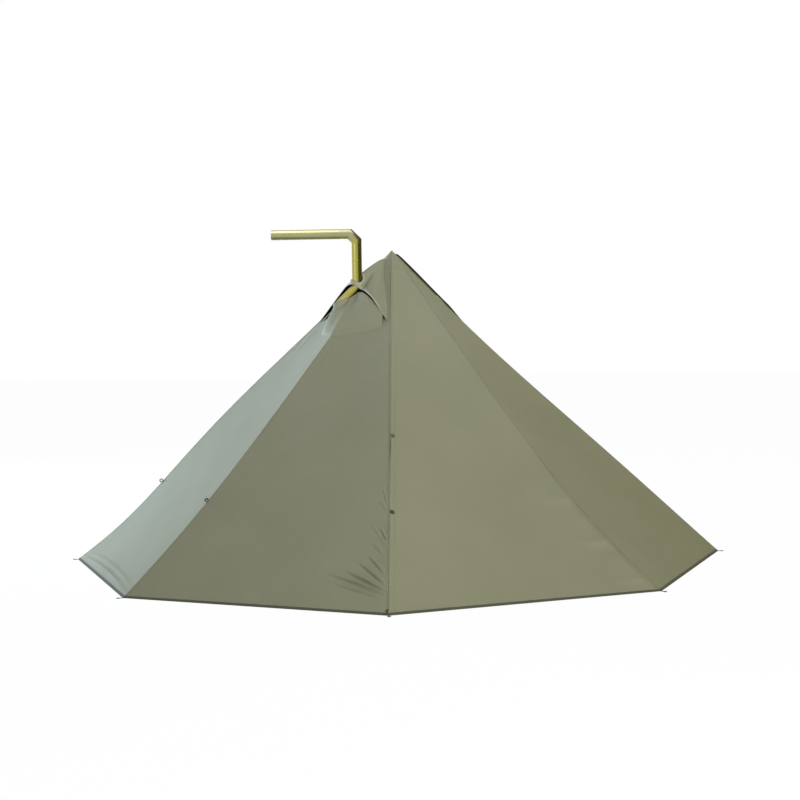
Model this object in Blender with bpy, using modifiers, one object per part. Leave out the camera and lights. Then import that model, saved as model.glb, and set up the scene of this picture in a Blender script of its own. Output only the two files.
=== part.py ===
"""Eight-sided pyramid tent with a zipped door, a stove jack, a rear vent, a centre pole and a wood stove.

Metres, +Z up. The ground is z = 0 and the pole stands on the origin. The door faces -Y.
Every canopy piece is placed by two numbers: w counts ridges clockwise from the front one, seen from
below, so w = 0 is the front ridge, 1 the front left one and 0.5 the middle of the panel between
them; t runs down the slope, 0 at the peak and 1 at the hem.
"""

import math

import bmesh
import bpy
import numpy as np
from mathutils import Matrix, Vector

# Canopy
corner_radius = 2.15  # pole axis to each pegged corner
peak_height = 2.04
hem_clearance = 0.001  # hem above the ground
cloth = 0.0006  # proofed cloth with its seams
seam_standoff = 0.001  # cloth edge to the ridge line
touch = 0.0003  # gap between pieces that touch
round_sides = 24  # facets round pipes and tubes
lap_gap = 0.0007  # gap under a piece lapped over a whole panel, whose quads are slightly twisted
knot_count = 16  # stations down every ridge
panel_top = 0.015  # t where the panels begin, under the crown
sag_waist = 0.55  # share of the sag that is symmetric; the rest sits low on the ridge
sag_skew = 2.2
ridge_sag = {  # how far each ridge is drawn in from a straight line
    "front": 0.0,
    "front_left": 0.062,
    "left": 0.018,
    "back_left": 0.060,
    "back": 0.050,
    "back_right": 0.060,
    "right": 0.030,
    "front_right": 0.100,
}
ridge_waves = {  # a whole wave on top of the sag, inwards first: its height, and the power of t it runs with
    "left": (-0.024, 1.9),
    "right": (0.016, 1.0),
}
corners = tuple(ridge_sag)
side_count = len(corners)

# Crown, ridge tapes, guy loops and peg loops
crown_cloth = 0.0012
tape_leg = 0.009  # each side of the ridge
tape_thickness = 0.0008
tape_end_gap = 0.004
guy_loop_t = 0.737
guy_loop_reach = 0.022
guy_loop_band = 0.003
guy_loop_width = 0.008
guyed = ("front_left", "left", "back_left", "back", "back_right")
peg_loop_length = 0.036
peg_loop_width = 0.022
peg_loop_band = 0.004
peg_loop_tail = 0.010
peg_loop_thickness = 0.003
peg_tail_turn = 0.2  # the ring meets its tail this far past half a turn, in radians
door_loop_shift = peg_loop_band + 0.002  # the loop beside the door's fold is sewn clear of it

# Door
door_top_t = 0.28
fold_standoff = 0.0005  # cloth edge to the fold line
door_top_gap = 0.010  # cloth begins this far below the top of the zip line
zip_tape_width = 0.009
zip_tape_thickness = 0.0008
coil_width = 0.003
coil_height = 0.0016
zip_bottom_gap = 0.012
zip_top_gap = 0.060
slider_width = 0.010
slider_length = 0.014
slider_height = 0.0042
slider_rest = 0.030  # slider's middle above the corner, along the zip
ear_thickness = 0.001
ear_height = 0.0036
ear_span = (-0.004, 0.002)  # along the zip, from the slider's middle
slider_round = 0.002
pull_barrel_radius = 0.0012
pull_barrel_length = 0.005
pull_length = 0.022  # short enough to clear the canopy with the door folded back
pull_neck_length = 0.005
pull_shoulder = 0.009  # axis to where the tongue is full width
pull_width = 0.007
pull_thickness = 0.0012
flap_width = 0.034
flap_rise = 0.004  # free edge above the panel
flap_billow = 0.010  # extra rise where the flap has worked loose
flap_billow_t = 0.60
flap_cloth = 0.0008
flap_tab_ts = {"upper": 0.57, "lower": 0.765}
flap_curl = 1.5  # power of the flap's rise towards its free edge
flap_stations = (0.0, 0.3, 0.65, 1.0)
billow_span_t = 0.03
tab_share = 0.55  # place of the tabs across the flap, from its seam
tab_size = 0.028
tab_thickness = 0.003

# Door folds: creases fanned about a point on the zip line
fold_fan_height = 0.26
fold_fan_reach = 0.50
fold_fan_angle = 24.0  # degrees above the hem
fold_fan_spread = 22.0
fold_inset = 0.08  # creases reach full depth this far from the zip
fold_depth = 0.007
fold_waves = 20.0  # waves of a crease in a full turn
leaf_rows = (0.08, 0.18, 0.30, 0.42, 0.53, 0.62, *np.linspace(0.68, 1.0, 17))
hem_roll_height = 0.012  # roll of slack cloth above the left front hem
hem_roll_t = 0.965
hem_roll_width_t = 0.016
hem_roll_power = 0.6
hem_roll_rows = (0.89, 0.92, 0.95, 0.965, 0.98)

# Stove jack and rear vent hoods
hood_foot_w = 0.07
hood_foot_t = 0.225
hood_top_t = 0.075
hood_lip_t = 0.140
hood_lip_rise = 0.1075
hood_cloth = 0.0010
vent_lip_rise = 0.060
vent_prop_radius = 0.004
vent_prop_share = 0.8  # place of the stay, from the hood's seam to its lip
hood_swell = 0.7  # power of the hood's rise from its seam to its lip
hood_stations = (0.0, 0.12, 0.30, 0.55, 0.80, 1.0)
hood_top_power = 0.5
hood_lip_power = 0.8
hood_foot_drop_t = 0.012  # the lip's ends come this far below the seam's
hood_lean = 0.8  # how far the rise turns with the canopy, away from the middle ridge
patch_side_w = 0.07  # the patch's sides are this far inside the hood's feet
patch_edges_t = (0.100, 0.212)
patch_cloth = 0.0012
patch_tuck_t = 0.006  # the patch's top edge stays this far under the hood's seam
pocket_side_w = 0.09  # and the pocket's sides
pocket_base_t = 0.268
pocket_rim_t = 0.160
pocket_foot_t = 0.236
pocket_rise = 0.072
pocket_rows = (0.0, 0.25, 0.5, 0.75, 1.0)
pocket_rim_power = 0.7
pocket_swell = 1.3
pocket_bulge_at = 0.62  # where the pipe slants past, across the pocket
pocket_bulge_width = 0.26
pocket_step_t = 0.001
pocket_columns = 28
pocket_return_t = 0.008  # past the pipe the rim comes back up by this much a column
pocket_clearance = 0.010
pocket_overlap_t = 0.03  # the pocket rises over the patch this far below its edge
jack_clearance = 0.0008  # the pipe passes snugly through the patch
panel_hole_margin = 0.022
hood_hole_margin = 0.009
panel_cut_depth = 0.35  # how far below the lower bend the pipe's hole through the panel is cut
hood_cut_depth = 0.05
vent_window_t = 0.155
vent_window_ws = (4.62, 5.38)  # one window each side of the back right ridge
vent_window_radius = 0.075
vent_window_depth = 0.03

# Centre pole
pole_radius = 0.015
pole_wall = 0.0015
pole_sections = 4
plug_length = 0.060
foot_radius = 0.032
foot_height = 0.022
foot_floor = 0.010  # rubber under the pole's end
tip_skirt = 0.030

# Flue
pipe_radius = 0.0325
pipe_wall = 0.0008
pipe_fit = 0.0006  # radial clearance of a slip joint
slip_depth = 0.035
bead_height = 0.0015
bead_width = 0.006
upper_pipe_share = 0.147078  # place of the pipe above the hood, from the pole towards the front left corner
offset_step = 0.1204  # how far the offset steps aside
offset_drop = 0.245  # middle of the upper bend below the peak
offset_foot = 0.080  # straight pipe below the lower bend
offset_neck = 0.060  # straight pipe above the upper bend
upper_section_length = 0.2074
arm_length = 0.555
arm_socket = 0.075
damper_height = 0.78
damper_clearance = 0.0015
damper_thickness = 0.0012
spindle_radius = 0.0025
spindle_fit = 0.0005
damper_grip_radius = 0.007
damper_grip_length = 0.030

# Stove
stove_length = 0.420
stove_width = 0.220
stove_height = 0.200
stove_floor = 0.180  # underside above the ground
stove_wall = 0.0020
stove_rear = 0.064  # flue axis to the rear wall
stove_round = 0.008
collar_height = 0.045
collar_flange = 0.012
collar_flange_thickness = 0.002
doorway_width = 0.130
doorway_height = 0.105
doorway_sill = 0.060  # above the stove's underside
plate_overlap = 0.012
plate_thickness = 0.003
knuckle_radius = 0.004
hinge_pin_radius = 0.0015
hinge_fit = 0.0004
knuckle_length = 0.022
door_knuckle_length = 0.040
knob_radius = 0.009
knob_length = 0.026
air_hole_radius = 0.008
air_hole_spacing = 0.030
air_sill = 0.026  # air holes above the stove's underside
slide_length = 0.104
slide_width = 0.024
slide_thickness = 0.0015
rail_width = 0.004
leg_radius = 0.005
leg_inset = 0.030
leg_bend = 0.025
grate_height = 0.026
grate_thickness = 0.003
grate_margin = 0.003
grate_slots = 7
grate_slot_width = 0.012

up = np.array((0.0, 0.0, 1.0))
knots = np.linspace(0.0, 1.0, knot_count + 1)
crown_hem = float(knots[1])
bore_radius = pipe_radius - pipe_wall
upper_pipe = (-corner_radius * upper_pipe_share * math.sqrt(0.5),) * 2
lower_pipe = (upper_pipe[0] - offset_step, upper_pipe[1])
# The offset's bends are 45 degrees, so the pipe drops as far as it steps aside.
offset_top = peak_height - offset_drop
offset_bottom = offset_top - offset_step
arm_height = offset_top + offset_neck + upper_section_length + 2 * touch + arm_socket  # axis of the arm


for old in list(bpy.data.objects):
    bpy.data.objects.remove(old, do_unlink=True)
tent = bpy.data.collections.new("pyramid_tent")
cutters = bpy.data.collections.new("cutters")
bpy.context.scene.collection.children.link(tent)
bpy.context.scene.collection.children.link(cutters)


def material(name, colour, roughness, metallic=0.0):
    made = bpy.data.materials.new(name)
    made.use_nodes = True
    shader = made.node_tree.nodes["Principled BSDF"]
    shader.inputs["Base Color"].default_value = (*colour, 1.0)
    shader.inputs["Roughness"].default_value = roughness
    shader.inputs["Metallic"].default_value = metallic
    made.diffuse_color = (*colour, 1.0)
    return made


olive = material("olive_cloth", (0.24, 0.245, 0.17), 0.55)
hood_olive = material("hood_cloth", (0.22, 0.22, 0.14), 0.8)
black = material("black_jack_cloth", (0.02, 0.02, 0.015), 0.7)
netting = material("black_netting", (0.03, 0.03, 0.03), 0.9)
webbing = material("dark_webbing", (0.06, 0.06, 0.045), 0.85)
nylon = material("black_nylon", (0.02, 0.02, 0.02), 0.5)
alloy = material("anodised_alloy", (0.55, 0.55, 0.56), 0.35, 1.0)
rubber = material("black_rubber", (0.03, 0.03, 0.03), 0.9)
gilt = material("heat_tinted_pipe", (0.55, 0.50, 0.20), 0.3, 1.0)
steel = material("stove_steel", (0.35, 0.34, 0.32), 0.4, 1.0)
wire = material("steel_wire", (0.6, 0.6, 0.6), 0.3, 1.0)


def add_object(name, mesh, finish, as_cutter=False):
    made = bpy.data.objects.new(name, mesh)
    if as_cutter:
        cutters.objects.link(made)
        made.hide_render = True
        made.display_type = "WIRE"
    else:
        tent.objects.link(made)
        mesh.materials.append(finish)
    return made


def placement(x_axis, y_axis, z_axis, origin):
    columns = np.column_stack((x_axis, y_axis, z_axis, origin))
    return Matrix([[*map(float, row)] for row in columns] + [[0, 0, 0, 1]])


def mesh_from(working, name):
    mesh = bpy.data.meshes.new(name)
    working.to_mesh(mesh)
    working.free()
    return mesh


def smooth(made, degrees=40.0):
    made.data.shade_smooth()
    made.data.set_sharp_from_angle(angle=math.radians(degrees))
    return made


def box(name, low, high, finish, bevel=0.0, as_cutter=False):
    """A box between two corners, with its edges rounded by a Bevel modifier where asked."""
    low, high = Vector(low), Vector(high)
    working = bmesh.new()
    bmesh.ops.create_cube(working, size=1.0)
    bmesh.ops.scale(working, vec=high - low, verts=working.verts)
    made = add_object(name, mesh_from(working, name), finish, as_cutter)
    made.location = (low + high) / 2
    if bevel:
        rounding = made.modifiers.new("round", "BEVEL")
        rounding.width = bevel
        rounding.segments = 2
    return made


def cylinder(name, radius, start, end, finish, sides=24, as_cutter=False):
    start, end = Vector(start), Vector(end)
    axis = end - start
    working = bmesh.new()
    bmesh.ops.create_cone(
        working, cap_ends=True, segments=sides, radius1=radius, radius2=radius, depth=axis.length
    )
    made = add_object(name, mesh_from(working, name), finish, as_cutter)
    turn = axis.to_track_quat("Z", "Y").to_matrix().to_4x4()
    made.matrix_world = Matrix.Translation((start + end) / 2) @ turn
    return made if as_cutter else smooth(made)


def turned(name, profile, place, finish, sides=round_sides, closed=False):
    """A profile of (radius, height) points, turned about +Z. It runs down its outer side."""
    mesh = bpy.data.meshes.new(name)
    count = len(profile)
    edges = [(k, k + 1) for k in range(count - 1)]
    if closed:
        edges.append((count - 1, 0))
    mesh.from_pydata([(r, 0.0, z) for r, z in profile], edges, [])
    made = add_object(name, mesh, finish)
    made.location = place
    spin = made.modifiers.new("turn", "SCREW")
    spin.steps = sides
    spin.render_steps = sides
    spin.angle = 2 * math.pi
    spin.axis = "Z"
    spin.use_merge_vertices = True
    spin.merge_threshold = 0.00001
    spin.use_smooth_shade = True
    return made


def mesh_of_curve(curve, name):
    """The curve as one closed mesh, its caps welded on."""
    drawn = bpy.data.objects.new(name + "_drawn", curve)
    tent.objects.link(drawn)
    graph = bpy.context.evaluated_depsgraph_get()
    mesh = bpy.data.meshes.new_from_object(drawn.evaluated_get(graph))
    bpy.data.objects.remove(drawn, do_unlink=True)
    working = bmesh.new()
    working.from_mesh(mesh)
    bmesh.ops.remove_doubles(working, verts=working.verts, dist=0.00001)
    bmesh.ops.recalc_face_normals(working, faces=working.faces)
    working.to_mesh(mesh)
    working.free()
    mesh.name = name
    mesh.materials.clear()
    return mesh


def prism(name, outline, thickness, place, finish, as_cutter=False, holes=()):
    """A flat outline, with any holes, as a filled 2D curve extruded to its thickness about z = 0."""
    curve = bpy.data.curves.new(name, "CURVE")
    curve.dimensions = "2D"
    curve.fill_mode = "BOTH"
    curve.extrude = thickness / 2
    for ring in (outline, *holes):
        spline = curve.splines.new("POLY")
        spline.points.add(len(ring) - 1)
        for point, (x, y) in zip(spline.points, ring):
            point.co = (x, y, 0.0, 1.0)
        spline.use_cyclic_u = True
    made = add_object(name, mesh_of_curve(curve, name), finish, as_cutter)
    made.matrix_world = place
    return made


def cut(body, *tools):
    for tool in tools:
        boolean = body.modifiers.new("cut", "BOOLEAN")
        boolean.operation = "DIFFERENCE"
        boolean.object = tool
    return body


def join(body, *tools):
    for tool in tools:
        boolean = body.modifiers.new("join", "BOOLEAN")
        boolean.operation = "UNION"
        boolean.object = tool
    return body


def ride_on(empty, *pieces):
    """Parents pieces to an empty on their joint's axis and leaves them where they are."""
    bpy.context.view_layer.update()
    for piece in pieces:
        piece.parent = empty
        piece.matrix_parent_inverse = empty.matrix_world.inverted()


def pivot(name, place):
    made = bpy.data.objects.new(name, None)
    tent.objects.link(made)
    made.empty_display_size = 0.05
    made.location = place
    return made


def direction(w):
    """Level unit vector from the pole towards ridge w."""
    angle = 2 * math.pi * w / side_count
    return np.array((-math.sin(angle), -math.cos(angle), 0.0))


def outward(w):
    """Unit normal of the slope in the vertical plane of w."""
    leaning = direction(w) * peak_height + up * corner_radius
    return leaning / np.linalg.norm(leaning)


def sag_share(t):
    return sag_waist * np.sin(np.pi * t) + (1 - sag_waist) * np.sin(np.pi * t**sag_skew)


def ridge_point(index, t):
    """Point on a ridge. Between knots the ridge is straight, so that pieces sharing them lie flush."""
    index %= side_count
    name = corners[index]
    wave, power = ridge_waves.get(name, (0.0, 1.0))
    drawn = ridge_sag[name] * sag_share(knots) + wave * np.sin(2 * np.pi * knots**power)
    drawn_in = float(np.interp(t, knots, drawn))
    straight = direction(index) * corner_radius * t
    straight = straight + up * (peak_height + (hem_clearance - peak_height) * t)
    return straight - outward(index) * drawn_in


def panel_start(panel, t):
    """Where a panel's cloth begins. Beside the door, the front left panel begins at the leaf's fold line."""
    if panel % side_count == 0 and t > door_top_t:
        share = (t - door_top_t) / (1 - door_top_t)
        return ridge_point(0, door_top_t) * (1 - share) + ridge_point(1, 1.0) * share
    return ridge_point(panel, t)


def canopy_point(w, t):
    """Point on the canopy's outer face: a straight line across from ridge to ridge."""
    first = math.floor(w)
    share = w - first
    return panel_start(first, t) * (1 - share) + ridge_point(first + 1, t) * share


def panel_normal(panel, t, share=0.5):
    """Outward normal of the panel between ridges panel and panel + 1."""
    step = 0.004
    across = ridge_point(panel + 1, t) - panel_start(panel, t)
    above = canopy_point(panel + share * 0.999, max(t - step, 0.0))
    below = canopy_point(panel + share * 0.999, min(t + step, 1.0))
    normal = np.cross(below - above, across)
    normal /= np.linalg.norm(normal)
    return normal if normal @ outward(panel + 0.5) > 0 else -normal


def lifted(w, t, height):
    """Point a height above the canopy, kept that far from both panels where it is on a ridge."""
    if t < 1e-9:
        return ridge_point(0, 0) + up * height * math.hypot(corner_radius, peak_height) / corner_radius
    nearest = round(w)
    if abs(w - nearest) > 1e-6:
        return canopy_point(w, t) + panel_normal(math.floor(w), t, w - math.floor(w)) * height
    first = panel_normal(nearest - 1, t, 1.0)
    second = panel_normal(nearest, t, 0.0)
    mean = (first + second) / np.linalg.norm(first + second)
    return ridge_point(nearest, t) + mean * height / (mean @ first)


def rows_between(top, bottom, *extra):
    """The stations from top to bottom: every knot between them, and any extra ones."""
    inner = [k for k in (*knots, *extra) if top + 0.004 < k < bottom - 0.004]
    return sorted({top, bottom, *map(float, inner)})


def sheet(name, grid, thickness, finish, grow=-1.0):
    """A grid of points skinned with quads and given its thickness by Solidify.

    grow is -1 to thicken inwards from the grid and 1 to thicken outwards. Points that fall
    together, as at the peak, are merged.
    """
    grid = np.asarray(grid)
    rows, columns = grid.shape[:2]
    working = bmesh.new()
    verts = [[working.verts.new(point) for point in row] for row in grid]
    for r in range(rows - 1):
        for c in range(columns - 1):
            working.faces.new((verts[r][c], verts[r + 1][c], verts[r + 1][c + 1], verts[r][c + 1]))
    bmesh.ops.remove_doubles(working, verts=working.verts, dist=0.00002)
    bmesh.ops.recalc_face_normals(working, faces=working.faces)
    inside = Vector((0, 0, -0.5))
    facing = [f.normal.dot(f.calc_center_median() - inside) * f.calc_area() for f in working.faces]
    if sum(facing) < 0:
        bmesh.ops.reverse_faces(working, faces=working.faces)
    made = add_object(name, mesh_from(working, name), finish)
    shell = made.modifiers.new("thickness", "SOLIDIFY")
    shell.thickness = thickness
    shell.offset = grow
    return smooth(made, 25.0)


def across_panel(left, right, standoff_left, standoff_right, shares):
    """Points on the line between two places, with its ends drawn in by their standoffs."""
    span = np.linalg.norm(right - left)
    low, high = standoff_left / span, 1 - standoff_right / span
    return [left + (right - left) * (low + (high - low) * s) for s in shares]


def panel(name, index, columns, rows, shape=None):
    """A whole panel between two ridges. shape(w, t) gives the height of its folds."""
    shares = np.linspace(0.0, 1.0, columns + 1)
    grid = []
    for t in rows:
        line = across_panel(
            ridge_point(index, t), ridge_point(index + 1, t), seam_standoff, seam_standoff, shares
        )
        if shape:
            normal = panel_normal(index, t)
            line = [p + normal * shape(s, t) for p, s in zip(line, shares)]
        grid.append(line)
    return sheet(name, grid, cloth, olive)


def hem_roll(share, t):
    """Slack cloth rolled outwards just above the hem, dying away at both seams."""
    along = math.sin(math.pi * share) ** hem_roll_power if 0 < share < 1 else 0.0
    return hem_roll_height * along * math.exp(-(((t - hem_roll_t) / hem_roll_width_t) ** 2))


# The door leaf is flat: the front ridge is straight, so the zip line, the hem and the fold line
# from the top of the zip to the front left corner lie in one plane.
zip_top = ridge_point(0, door_top_t)
zip_foot = ridge_point(0, 1.0)
fold_foot = ridge_point(1, 1.0)
zip_length = float(np.linalg.norm(zip_top - zip_foot))
along_zip = (zip_top - zip_foot) / zip_length
leaf_normal = np.cross(fold_foot - zip_foot, along_zip)
leaf_normal /= np.linalg.norm(leaf_normal)
if leaf_normal @ outward(0.5) < 0:
    leaf_normal = -leaf_normal
across_leaf = np.cross(leaf_normal, along_zip)  # from the zip towards the fold line


def on_leaf(across, along, height):
    """World point from distances across the leaf, up the zip and out of the cloth."""
    return zip_foot + across_leaf * across + along_zip * along + leaf_normal * height


def door_fold(across, along):
    """Creases that fan out from a point on the zip line, none of them at the cloth's edges."""
    dx, dy = across, along - fold_fan_height
    reach = math.hypot(dx, dy)
    angle = math.degrees(math.atan2(dy, dx))
    fan = math.exp(-(((angle - fold_fan_angle) / fold_fan_spread) ** 2))
    fade = math.exp(-((reach / fold_fan_reach) ** 2)) * min(1.0, across / fold_inset)
    return fold_depth * fan * fade * math.cos(math.radians(angle * fold_waves))


def door_leaf():
    shares = np.linspace(0.0, 1.0, 17) ** 1.5
    grid = []
    for s in (door_top_gap / zip_length, *leaf_rows):
        zip_side = zip_top + (zip_foot - zip_top) * s
        fold_side = zip_top + (fold_foot - zip_top) * s
        line = across_panel(zip_side, fold_side, seam_standoff, fold_standoff, shares)
        edge = min(1.0, (1.0 - s) * 12)
        folded = []
        for point in line:
            offset = point - zip_foot
            lift = door_fold(offset @ across_leaf, offset @ along_zip) * edge
            folded.append(point + leaf_normal * lift)
        grid.append(folded)
    return sheet("door_leaf", grid, cloth, olive)


def front_left_fixed():
    """The cloth between the front and front left ridges above the fold line."""
    shares = np.linspace(0.0, 1.0, 5)
    grid = []
    for t in rows_between(panel_top, 0.997, door_top_t):
        standoff = seam_standoff if t <= door_top_t else fold_standoff
        grid.append(across_panel(panel_start(0, t), ridge_point(1, t), standoff, seam_standoff, shares))
    return sheet("front_left_panel", grid, cloth, olive)


def crown():
    grid = [[lifted(w, t, touch) for w in range(side_count + 1)] for t in (0.0, crown_hem)]
    return sheet("crown_cap", grid, crown_cloth, olive, grow=1.0)


def guy_loop(index, t):
    """A webbing ring standing on the ridge in its vertical plane, as a tool to join to the tape."""
    seat = lifted(index, t, touch + tape_thickness / 2)
    out = outward(index)
    down_slope = ridge_point(index, t + 0.01) - ridge_point(index, t - 0.01)
    down_slope /= np.linalg.norm(down_slope)
    out = out - down_slope * (out @ down_slope)
    out /= np.linalg.norm(out)
    side = np.cross(down_slope, out)
    half = guy_loop_reach / 2
    ring = [(-half * 1.05, 0.0), (half * 1.05, 0.0)]
    ring += [
        (half * math.cos(a), half + half * math.sin(a)) for a in np.linspace(0.0, math.pi, 9)
    ]
    eye = half - guy_loop_band
    hole = [(eye * math.cos(a), half + eye * math.sin(a)) for a in np.linspace(0, 2 * math.pi, 13)[:-1]]
    place = placement(down_slope, out, side, seat)
    name = corners[index % side_count] + "_guy_loop"
    return prism(name, ring, guy_loop_width, place, webbing, as_cutter=True, holes=(hole,))


def ridge_tape(index):
    """Seam tape folded over the ridge, with its guy loop sewn in."""
    name = corners[index]
    top = crown_hem + tape_end_gap
    bottom = 1.0 - tape_end_gap
    if name in ("front_left", "back_right"):
        top = pocket_base_t + 2 * tape_end_gap
    if name == "front":
        bottom = door_top_t - tape_end_gap
    if name == "front_left":  # it stops where the door's fold line comes too near
        spread = np.linalg.norm(ridge_point(0, door_top_t) - ridge_point(1, door_top_t))
        bottom = 1.0 - (1 - door_top_t) * 2 * tape_leg / spread
    grid = []
    for t in rows_between(top, bottom):
        before = tape_leg / np.linalg.norm(ridge_point(index, t) - panel_start(index - 1, t))
        after = tape_leg / np.linalg.norm(ridge_point(index + 1, t) - ridge_point(index, t))
        grid.append([lifted(w, t, touch) for w in (index - before, index, index + after)])
    made = sheet(name + "_ridge_tape", grid, tape_thickness, olive, grow=1.0)
    if name in guyed:
        join(made, guy_loop(index, guy_loop_t))
    return made


def peg_loop(index):
    """A flat webbing ring on the ground outside a corner, with a solid tail against the hem."""
    half = peg_loop_width / 2
    tail = peg_loop_band
    centre = peg_loop_length - half
    ring = [(-tail, 0.0), (tail, 0.0), (tail, peg_loop_tail)]
    around = np.linspace(-peg_tail_turn, math.pi + peg_tail_turn, 11)
    ring += [(half * math.cos(a), centre + half * math.sin(a)) for a in around]
    ring += [(-tail, peg_loop_tail)]
    eye = half - peg_loop_band
    hole = [(eye * math.cos(a), centre + eye * math.sin(a)) for a in np.linspace(0, 2 * math.pi, 17)[:-1]]
    out = Vector(direction(index))
    start = out * corner_radius
    if index == 0:  # sewn to the fixed panel, clear of the door leaf's path
        start += Vector((peg_loop_band + seam_standoff, 0, 0))
    if index == 1:  # square to the left front hem, clear of the leaf's corner as it turns
        out = Vector(direction(index + 0.5))
        along_hem = Vector(ridge_point(index + 1, 1.0) - ridge_point(index, 1.0)).normalized()
        start += along_hem * door_loop_shift + out * touch
    side = Vector((0, 0, 1)).cross(out)
    start.z = peg_loop_thickness / 2
    place = Matrix.Translation(start) @ Matrix((-side, out, Vector((0, 0, 1)))).transposed().to_4x4()
    return prism(corners[index] + "_peg_loop", ring, peg_loop_thickness, place, webbing, holes=(hole,))


def hood_line(share):
    """How far the hood stands out, from 0 at its feet to 1 in the middle."""
    return math.sin(math.pi * share) ** hood_lip_power


def hood_seam(share):
    """The t of the hood's sewn upper edge, across it."""
    return hood_foot_t - (hood_foot_t - hood_top_t) * math.sin(math.pi * share) ** hood_top_power


def hood(name, first_w, lip_rise, lining, finish):
    """A hood across two panels, sewn along its upper edge over a lining and standing proud at its lip."""
    shares = np.linspace(0.0, 1.0, 17)
    grid = []
    for u in hood_stations:
        row = []
        for v in shares:
            w = first_w + hood_foot_w + (2 - 2 * hood_foot_w) * v
            top = hood_seam(v)
            foot = hood_foot_t + hood_foot_drop_t
            lip = foot - (foot - hood_lip_t) * hood_line(v)
            t = top + (lip - top) * u
            rise = lip_rise * hood_line(v) * u**hood_swell
            middle = first_w + 1
            on_cloth = lifted(w, t, lining + 2 * lap_gap)
            row.append(on_cloth + outward(middle + (w - middle) * hood_lean) * rise)
        grid.append(row)
    return sheet(name, grid, hood_cloth, finish, grow=1.0)


def patch(name, first_w, finish, thickness):
    """Cloth lapped over the ridge between two panels, under a hood."""
    low = hood_foot_w + patch_side_w
    high = 2 - low
    columns = sorted({low, high, 1.0, *(k / 4 for k in range(9) if low < k / 4 < high)})
    tops = [hood_seam((w - hood_foot_w) / (2 - 2 * hood_foot_w)) + patch_tuck_t for w in columns]
    grid = [
        [lifted(first_w + w, max(t, top), lap_gap) for w, top in zip(columns, tops)]
        for t in rows_between(*patch_edges_t)
    ]
    return sheet(name, grid, thickness, finish, grow=1.0)


def flue_distance(point):
    """Distance from the flue's axis, up the lower pipe, along the offset and up the upper one."""
    route = [(*lower_pipe, 0.0), (*lower_pipe, offset_bottom)]
    route += [(*upper_pipe, offset_top), (*upper_pipe, arm_height)]
    found = []
    for start, end in zip(route, route[1:]):
        start, span = np.array(start), np.subtract(end, start)
        share = float(np.clip((point - start) @ span / (span @ span), 0.0, 1.0))
        found.append(float(np.linalg.norm(point - start - span * share)))
    return min(found)


def jack_pocket():
    """The lower lip of the stove jack: cloth sewn down at its base and held off the patch at its rim."""
    low_w = hood_foot_w + pocket_side_w
    high_w = 2 - low_w
    foot = pocket_foot_t + hood_foot_drop_t
    grid = []
    for u in pocket_rows:
        row = []
        given = 0.0
        for v in np.linspace(0.0, 1.0, pocket_columns + 1):
            w = low_w + (high_w - low_w) * v
            bow = math.sin(math.pi * v) ** pocket_rim_power
            rim = pocket_foot_t - (pocket_foot_t - pocket_rim_t) * bow
            base = foot + (pocket_base_t - foot) * bow
            free = base + (rim - base) * u
            t = free + max(given - pocket_return_t, 0.0)
            bulge = math.exp(-(((v - pocket_bulge_at) / pocket_bulge_width) ** 2))
            rise = pocket_rise * bulge * math.sqrt(math.sin(math.pi * v)) * u**pocket_swell
            seat = patch_cloth + 2 * lap_gap if t < patch_edges_t[1] + pocket_overlap_t else lap_gap
            point = lifted(w, t, seat) + outward(w) * rise
            while flue_distance(point) < pipe_radius + pocket_clearance:
                t += pocket_step_t  # the rim gives way down the slope, round the outside of the pipe
                point = lifted(w, t, seat) + outward(w) * rise
            given = t - free
            row.append(point)
        grid.append(row)
    return sheet("jack_pocket", grid, hood_cloth, olive, grow=1.0)


def vent_prop():
    """A stiffened stay with round ends, square to the ridge, that holds the rear hood off the net."""
    t = hood_top_t + (hood_lip_t - hood_top_t) * vent_prop_share
    foot = lap_gap + cloth + touch
    # The hood's rows are straight between their stations, so the stay stands under one of them.
    head = cloth + 2 * lap_gap + vent_lip_rise * vent_prop_share**hood_swell - touch
    bend = np.linspace(0, math.pi / 2, 5)
    top = [(vent_prop_radius * math.sin(a), head - foot - vent_prop_radius * (1 - math.cos(a))) for a in bend]
    bottom = [(vent_prop_radius * math.cos(a), vent_prop_radius * (1 - math.sin(a))) for a in bend]
    made = turned("vent_prop", top + bottom, (0, 0, 0), nylon, sides=12)
    upright = Vector(outward(5)).to_track_quat("Z", "Y").to_matrix().to_4x4()
    made.matrix_world = Matrix.Translation(Vector(lifted(5, t, foot))) @ upright
    return made


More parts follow.
